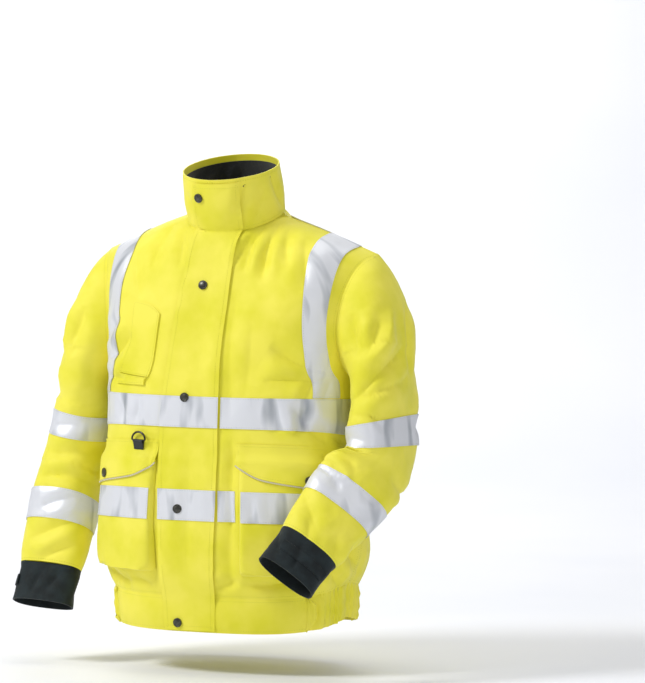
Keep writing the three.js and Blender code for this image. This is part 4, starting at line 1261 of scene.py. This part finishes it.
class JACKET_OT_pockets(bpy.types.Operator):
    """Make the two lower pockets with their flaps and piping"""
    bl_idname = "jacket.pockets"
    bl_label = "Lower pockets"

    def execute(self, context):
        body = FINISHED["body"]
        for side in ("right", "left"):
            node = f"pocket_{side}"
            obj = solid_copy(node, f"{node}_cloth", SMALL_LEVELS)
            flat_map(obj)
            rest = places(obj.data).copy()
            body.carry(obj)
            points = places(obj.data)
            height = seen_creases(POCKET_CREASES[side], points, np.abs(normals(obj.data)) * (0, -1, 0))
            height += 0.8 * MM * crumples(points, 30 * MM, 51)
            points[:, 1] -= height
            put_back(obj.data, points)
            FINISHED[node] = Carrier([obj], [rest])
            finish_piece(obj, "yellow_cloth", node)
            flap = outer_sheet(f"pocket_flap_{side}", 1.4 * MM, body_middle, f"pocket_flap_{side}_cloth")
            subdivided(flap, PANEL_LEVELS)
            flat_map(flap)
            flap_rest = places(flap.data).copy()
            body.carry(flap, 1.6 * MM)
            points = places(flap.data)
            height = 0.9 * MM * crumples(points, 38 * MM, 61) * edge_hold(flap.data, points, 14 * MM, 0.4)
            put_back(flap.data, points + normals(flap.data) * height[:, None])
            FINISHED[f"pocket_flap_{side}"] = Carrier([flap], [flap_rest])
            sew_rows(flap, 4 * MM, "yellow_thread", f"pocket_flap_{side}_stitches")
            thickened(flap, 1.4 * MM)
            finish_piece(flap, "yellow_cloth", f"pocket_flap_{side}")
            cord = solid_copy(f"flap_piping_{side}", f"flap_piping_{side}_cord", SMALL_LEVELS, 60)
            flat_map(cord)
            body.carry(cord)
            finish_piece(cord, "piping", f"flap_piping_{side}", smooth=60)
        return {"FINISHED"}


class JACKET_OT_chest_pocket(bpy.types.Operator):
    """Make the chest pocket and its welt"""
    bl_idname = "jacket.chest_pocket"
    bl_label = "Chest pocket"

    def execute(self, context):
        body = FINISHED["body"]
        overlay("chest_pocket", 2 * MM, body, "yellow_cloth", inset=3 * MM, thread="yellow_thread")
        overlay("chest_welt", 2.8 * MM, body, "yellow_cloth", inset=3 * MM, thread="yellow_thread")
        return {"FINISHED"}


def hem_sheet(node):
    """A stretch of the hem band: padded on the front and back, gathered on elastic at the sides."""
    obj = outer_sheet(node, sizes().cloth, body_middle, f"{node}_cloth")
    apply_modifier(obj, "SUBSURF", levels=1, render_levels=1, subdivision_type="SIMPLE")
    subdivided(obj, SMALL_LEVELS)
    flat_map(obj)
    points = places(obj.data)
    directions = normals(obj.data)
    height = 1.1 * MM * crumples(points, 26 * MM, 71)
    across = np.clip((-0.617 - points[:, 2]) / 0.058, 0, 1)
    height += 2.4 * MM * np.sin(across * math.pi) ** 0.7
    if "side" in node:
        turn = np.arctan2(points[:, 0], -points[:, 1])
        height += 1.9 * MM * np.sin(turn * 78 + 2.2 * np.sin(turn * 23))
        height += 1.2 * MM * np.sin(across * math.pi * 6 + 1.1 * np.sin(turn * 31))
    height *= edge_hold(obj.data, points, 8 * MM, 0.5)
    put_back(obj.data, points + directions * height[:, None])
    pull_edge(obj, FINISHED["body_sheets"], 14 * MM, 8 * MM)
    return obj


class JACKET_OT_hem(bpy.types.Operator):
    """Make the hem band with its elastic sides"""
    bl_idname = "jacket.hem"
    bl_label = "Hem band"

    def execute(self, context):
        plain = [hem_sheet(node) for node in ("hem_left", "hem_right", "hem_back")]
        gathered = [hem_sheet(node) for node in ("hem_side_left", "hem_side_right")]
        for obj in plain:
            sew_rows(obj, 5 * MM, "yellow_thread", f"{obj.name}_stitches")
        for obj in gathered:
            pull_edge(obj, plain, 18 * MM, 14 * MM)
        for obj in (*plain, *gathered):
            thickened(obj, sizes().cloth)
            finish_piece(obj, "yellow_cloth", obj.name.removesuffix("_cloth"), smooth=60)
        return {"FINISHED"}


class JACKET_OT_collar(bpy.types.Operator):
    """Make the collar and its dark lining"""
    bl_idname = "jacket.collar"
    bl_label = "Collar"

    def execute(self, context):
        for node, wall, finish in (
            ("collar", sizes().cloth, "yellow_cloth"),
            ("collar_lining", 0.9 * MM, "black_fleece"),
        ):
            obj = outer_sheet(node, wall, middle_of("collar"), f"{node}_cloth")
            subdivided(obj, PANEL_LEVELS)
            flat_map(obj)
            points = places(obj.data)
            rest = points.copy()
            directions = normals(obj.data)
            height = seen_creases(COLLAR_CREASES, points, directions) * sizes().creases
            height += 1.1 * MM * crumples(points, 40 * MM, 81)
            height *= edge_hold(obj.data, points, 14 * MM, 0.25)
            put_back(obj.data, points + directions * height[:, None])
            if node == "collar":
                FINISHED["front"] = Carrier([*FINISHED["body_sheets"], obj], [*FINISHED["body_rests"], rest])
                sew_rows(obj, 5 * MM, "yellow_thread", "collar_stitches")
            thickened(obj, wall)
            finish_piece(obj, finish, node)
        return {"FINISHED"}


class JACKET_OT_cuffs(bpy.types.Operator):
    """Make the dark cuffs and their tabs"""
    bl_idname = "jacket.cuffs"
    bl_label = "Cuffs"

    def execute(self, context):
        for side, line in (("left", LEFT_ARM), ("right", RIGHT_ARM)):
            node = f"cuff_{side}"
            obj = outer_sheet(node, 2.6 * MM, middle_of(node), f"{node}_cloth")
            subdivided(obj, PANEL_LEVELS)
            points = places(obj.data)
            rest = points.copy()
            directions = normals(obj.data)
            down, turn, radius = arm_places(line[-2:], points, (0, -1, 0.25))
            pattern_map(obj, np.radians(turn) * 0.045, down * MM, math.tau * 0.045)
            height = arm_creases(CUFF_CREASES, down, turn, radius)
            height += 1.2 * MM * crumples(points, 30 * MM, 91)
            height *= edge_hold(obj.data, points, 8 * MM, 0.5)
            put_back(obj.data, points + directions * height[:, None])
            pull_edge(obj, [FINISHED[f"sleeve_{side}_sheet"]], 10 * MM, 2 * MM)
            carrier = Carrier([obj], [rest])
            thickened(obj, 2.4 * MM)
            finish_piece(obj, "dark_rib", node, smooth=60)
            tab = solid_copy(f"cuff_tab_{side}", f"cuff_tab_{side}_cloth", SMALL_LEVELS)
            flat_map(tab)
            carrier.carry(tab)
            finish_piece(tab, "dark_rib", f"cuff_tab_{side}")
        return {"FINISHED"}


class JACKET_OT_hood(bpy.types.Operator):
    """Make the hood: its crown, lining, strip, tab and hanging loop"""
    bl_idname = "jacket.hood"
    bl_label = "Hood"

    def execute(self, context):
        lining = outer_sheet("hood_lining", 1.4 * MM, body_middle, "hood_lining_cloth")
        subdivided(lining, PANEL_LEVELS)
        flat_map(lining)
        rest = places(lining.data).copy()
        points = rest.copy()
        height = 1.6 * MM * (crumples(points, 36 * MM, 101) + 0.6)
        height *= edge_hold(lining.data, points, 16 * MM, 0.3)
        put_back(lining.data, points + normals(lining.data) * height[:, None])
        nape = Carrier([lining], [rest])
        thickened(lining, 1.3 * MM)
        finish_piece(lining, "hood_lining", "hood_lining")
        overlay("hood_strip", 0.9 * MM, nape, "pale_strip")
        overlay("hanger_loop", 0.9 * MM, nape, "yellow_cloth", levels=SMALL_LEVELS)
        crown = outer_sheet("hood_shell", sizes().cloth, body_middle, "hood_shell_cloth")
        subdivided(crown, PANEL_LEVELS)
        flat_map(crown)
        rest = places(crown.data).copy()
        points = rest.copy()
        directions = normals(crown.data)
        height = seen_creases(HOOD_CREASES, points, directions) * sizes().creases
        height += 1.6 * MM * crumples(points, 58 * MM, 111)
        height += 0.5 * MM * crumples(points, 20 * MM, 112)
        height *= edge_hold(crown.data, points, 14 * MM, 0.45)
        put_back(crown.data, points + directions * height[:, None])
        carrier = Carrier([crown], [rest])
        sew_rows(crown, 5 * MM, "yellow_thread", "hood_shell_stitches")
        thickened(crown, sizes().cloth)
        finish_piece(crown, "yellow_cloth", "hood_shell")
        overlay("hood_tab", 1.4 * MM, carrier, "yellow_cloth", levels=SMALL_LEVELS, thread="yellow_thread")
        return {"FINISHED"}


def snap_cap(node, finish):
    """A pressed snap cap: a low dome inside a rolled rim, where its CAD cap sits."""
    low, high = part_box(node)
    middle = Vector([(a + b) / 2 for a, b in zip(low, high)])
    carrier = FINISHED["storm_flap"] if node.startswith("snap") else FINISHED[node.replace("snap", "flap")]
    place, normal = carrier.under(middle, (0, 1, 0))
    if normal.y > 0:
        normal = -normal
    radius = sizes().snap
    activate(NODES[node])
    bpy.ops.object.select_all(action="DESELECT")
    bpy.ops.mesh.primitive_cylinder_add(vertices=40, radius=radius, depth=2.6 * MM, location=(0, 0, 0))
    obj = bpy.context.active_object
    obj.name = f"{node}_cap"
    bpy.ops.object.mode_set(mode="EDIT")
    bpy.ops.mesh.select_all(action="DESELECT")
    bpy.ops.object.mode_set(mode="OBJECT")
    for face in obj.data.polygons:
        face.select = face.normal.z > 0.9
    bpy.ops.object.mode_set(mode="EDIT")
    bpy.ops.mesh.select_mode(type="FACE")
    bpy.ops.mesh.inset(thickness=0.9 * MM, depth=0)
    bpy.ops.mesh.inset(thickness=0.7 * MM, depth=-0.8 * MM)
    bpy.ops.mesh.inset(thickness=1.8 * MM, depth=0.7 * MM)
    bpy.ops.mesh.inset(thickness=2.2 * MM, depth=0.4 * MM)
    bpy.ops.mesh.select_all(action="DESELECT")
    bpy.ops.object.mode_set(mode="OBJECT")
    apply_modifier(obj, "BEVEL", width=0.4 * MM, segments=3, angle_limit=math.radians(50))
    turn = Vector((0, 0, 1)).rotation_difference(normal).to_matrix().to_4x4()
    obj.data.transform(Matrix.Translation(place + normal * 1.5 * MM) @ turn)
    finish_piece(obj, finish, node, smooth=40)


class JACKET_OT_snaps(bpy.types.Operator):
    """Press the snaps through the storm flap and the pocket flaps"""
    bl_idname = "jacket.snaps"
    bl_label = "Snaps"

    def execute(self, context):
        for i in range(1, 6):
            snap_cap(f"snap_{i}", "gunmetal")
        for side in ("left", "right"):
            snap_cap(f"pocket_snap_{side}", "gunmetal")
        return {"FINISHED"}


class JACKET_OT_ring(bpy.types.Operator):
    """Make the D-shaped ring and its webbing tab"""
    bl_idname = "jacket.ring"
    bl_label = "Ring and tab"

    def execute(self, context):
        ring = solid_copy("d_ring", "d_ring_wire", SMALL_LEVELS, 80)
        finish_piece(ring, "ring_steel", "d_ring", body="ring", smooth=60)
        tab = solid_copy("d_ring_tab", "d_ring_tab_webbing", 1, 40)
        finish_piece(tab, "black_webbing", "d_ring_tab")
        return {"FINISHED"}


class JACKET_OT_panels(bpy.types.Operator):
    """Give the fronts, back and sleeves their thickness"""
    bl_idname = "jacket.panels"
    bl_label = "Thickness of the panels"

    def execute(self, context):
        sheets = [*FINISHED["body_sheets"], FINISHED["sleeve_left_sheet"], FINISHED["sleeve_right_sheet"]]
        for obj, node in zip(sheets, (*BODY_PANELS, "sleeve_left", "sleeve_right")):
            thickened(obj, sizes().cloth)
            finish_piece(obj, "yellow_cloth", node)
        return {"FINISHED"}


# Stage


def lamp(name, place, aim, size, power, tint="FFFFFF"):
    bpy.ops.object.light_add(type="AREA", location=place)
    light = bpy.context.active_object
    light.name = name
    light.data.shape = "RECTANGLE"
    light.data.size = size[0]
    light.data.size_y = size[1]
    light.data.energy = power
    light.data.color = linear(tint)
    light.rotation_euler = (Vector(aim) - Vector(place)).to_track_quat("-Z", "Y").to_euler()
    return light


class JACKET_OT_stage(bpy.types.Operator):
    """Set the camera, the paper backdrop and the lamps"""
    bl_idname = "jacket.stage"
    bl_label = "Stage"

    def execute(self, context):
        floor_height = -0.745
        bpy.ops.object.select_all(action="DESELECT")
        bpy.ops.mesh.primitive_plane_add(size=20, location=(0, 0, floor_height - 2 * MM))
        floor = bpy.context.active_object
        floor.name = "floor"
        floor.data.materials.append(finish_of("backdrop"))
        # The paper is a narrow roll, so that it only stands behind the jacket as the camera sees it
        bpy.ops.mesh.primitive_plane_add(size=1, location=(0, 0, 0))
        paper = bpy.context.active_object
        paper.name = "backdrop"
        bpy.ops.object.mode_set(mode="EDIT")
        bpy.ops.transform.resize(value=(2.2, 9, 1))
        bpy.ops.mesh.select_all(action="DESELECT")
        bpy.ops.object.mode_set(mode="OBJECT")
        for vertex in paper.data.vertices:
            vertex.select = vertex.co.y > 1
        for edge in paper.data.edges:
            edge.select = all(paper.data.vertices[v].select for v in edge.vertices)
        bpy.ops.object.mode_set(mode="EDIT")
        bpy.ops.mesh.select_mode(type="EDGE")
        bpy.ops.mesh.extrude_region_move(TRANSFORM_OT_translate={"value": (0, 0, 7)})
        bpy.ops.mesh.select_all(action="DESELECT")
        bpy.ops.object.mode_set(mode="OBJECT")
        apply_modifier(paper, "BEVEL", width=2.4, segments=14, angle_limit=math.radians(40))
        turn = Matrix.Rotation(CAMERA_TURN, 4, "Z")
        paper.data.transform(Matrix.Translation((0, 0, floor_height)) @ turn)
        bpy.ops.object.shade_smooth()
        paper.data.materials.append(finish_of("backdrop"))

        focal = LENS_MM / SENSOR_MM * max(IMAGE)
        distance = focal / PIXELS_PER_METRE
        away = Vector((
            math.sin(CAMERA_TURN) * math.cos(CAMERA_RISE),
            -math.cos(CAMERA_TURN) * math.cos(CAMERA_RISE),
            math.sin(CAMERA_RISE),
        ))
        right = Vector((math.cos(CAMERA_TURN), math.sin(CAMERA_TURN), 0))
        up = away.cross(right)
        aim = (
            right * (IMAGE[0] / 2 - NECK_IN_IMAGE[0]) / PIXELS_PER_METRE
            - up * (IMAGE[1] / 2 - NECK_IN_IMAGE[1]) / PIXELS_PER_METRE
        )
        bpy.ops.object.camera_add(location=aim + away * distance)
        camera = bpy.context.active_object
        camera.name = "camera"
        camera.data.lens = LENS_MM
        camera.data.sensor_width = SENSOR_MM
        camera.data.clip_end = 100
        camera.rotation_euler = (-away).to_track_quat("-Z", "Y").to_euler()
        bpy.context.scene.camera = camera

        target = (0, 0, -0.3)
        lamp("key_lamp", (-2.5, -2.5, 2.7), target, (1.3, 1.3), 132)
        lamp("fill_lamp", (3.2, -2.6, 0.7), target, (2.4, 2.4), 27)
        lamp("top_lamp", (0.2, 0.6, 3.0), target, (2.6, 2.0), 34)
        lamp("back_lamp", (-1.8, 3.4, 1.4), target, (2.4, 2.0), 44)
        world = bpy.data.worlds.new("studio")
        world.use_nodes = True
        back = world.node_tree.nodes["Background"]
        back.inputs["Color"].default_value = (1, 1, 1, 1)
        back.inputs["Strength"].default_value = 0.36
        bpy.context.scene.world = world
        bpy.context.scene.view_settings.view_transform = "Standard"
        return {"FINISHED"}


class JACKET_PT_panel(bpy.types.Panel):
    """Sizes, colours and steps of the jacket"""
    bl_label = "Jacket"
    bl_idname = "JACKET_PT_panel"
    bl_space_type = "VIEW_3D"
    bl_region_type = "UI"
    bl_category = "Jacket"

    def draw(self, context):
        for group in (context.scene.jacket_sizes, context.scene.jacket_colours):
            column = self.layout.column()
            for name in group.__annotations__:
                column.prop(group, name)
        column = self.layout.column()
        for step in STEPS:
            column.operator(step.bl_idname)


STEPS = (
    JACKET_OT_body,
    JACKET_OT_sleeves,
    JACKET_OT_collar,
    JACKET_OT_storm_flap,
    JACKET_OT_pockets,
    JACKET_OT_chest_pocket,
    JACKET_OT_tapes,
    JACKET_OT_hem,
    JACKET_OT_cuffs,
    JACKET_OT_hood,
    JACKET_OT_snaps,
    JACKET_OT_ring,
    JACKET_OT_panels,
    JACKET_OT_sewing,
    JACKET_OT_stage,
)
CLASSES = (JacketSizes, JacketColours, *STEPS, JACKET_PT_panel)


def register():
    for kind in CLASSES:
        bpy.utils.register_class(kind)
    bpy.types.Scene.jacket_sizes = bpy.props.PointerProperty(type=JacketSizes)
    bpy.types.Scene.jacket_colours = bpy.props.PointerProperty(type=JacketColours)


def unregister():
    del bpy.types.Scene.jacket_colours
    del bpy.types.Scene.jacket_sizes
    for kind in reversed(CLASSES):
        bpy.utils.unregister_class(kind)


def main():
    register()
    bpy.ops.jacket.body()
    bpy.ops.jacket.sleeves()
    bpy.ops.jacket.collar()
    bpy.ops.jacket.storm_flap()
    bpy.ops.jacket.pockets()
    bpy.ops.jacket.chest_pocket()
    bpy.ops.jacket.tapes()
    bpy.ops.jacket.hem()
    bpy.ops.jacket.cuffs()
    bpy.ops.jacket.hood()
    bpy.ops.jacket.snaps()
    bpy.ops.jacket.ring()
    bpy.ops.jacket.panels()
    bpy.ops.jacket.sewing()
    bpy.ops.jacket.stage()


if __name__ == "__main__":
    main()
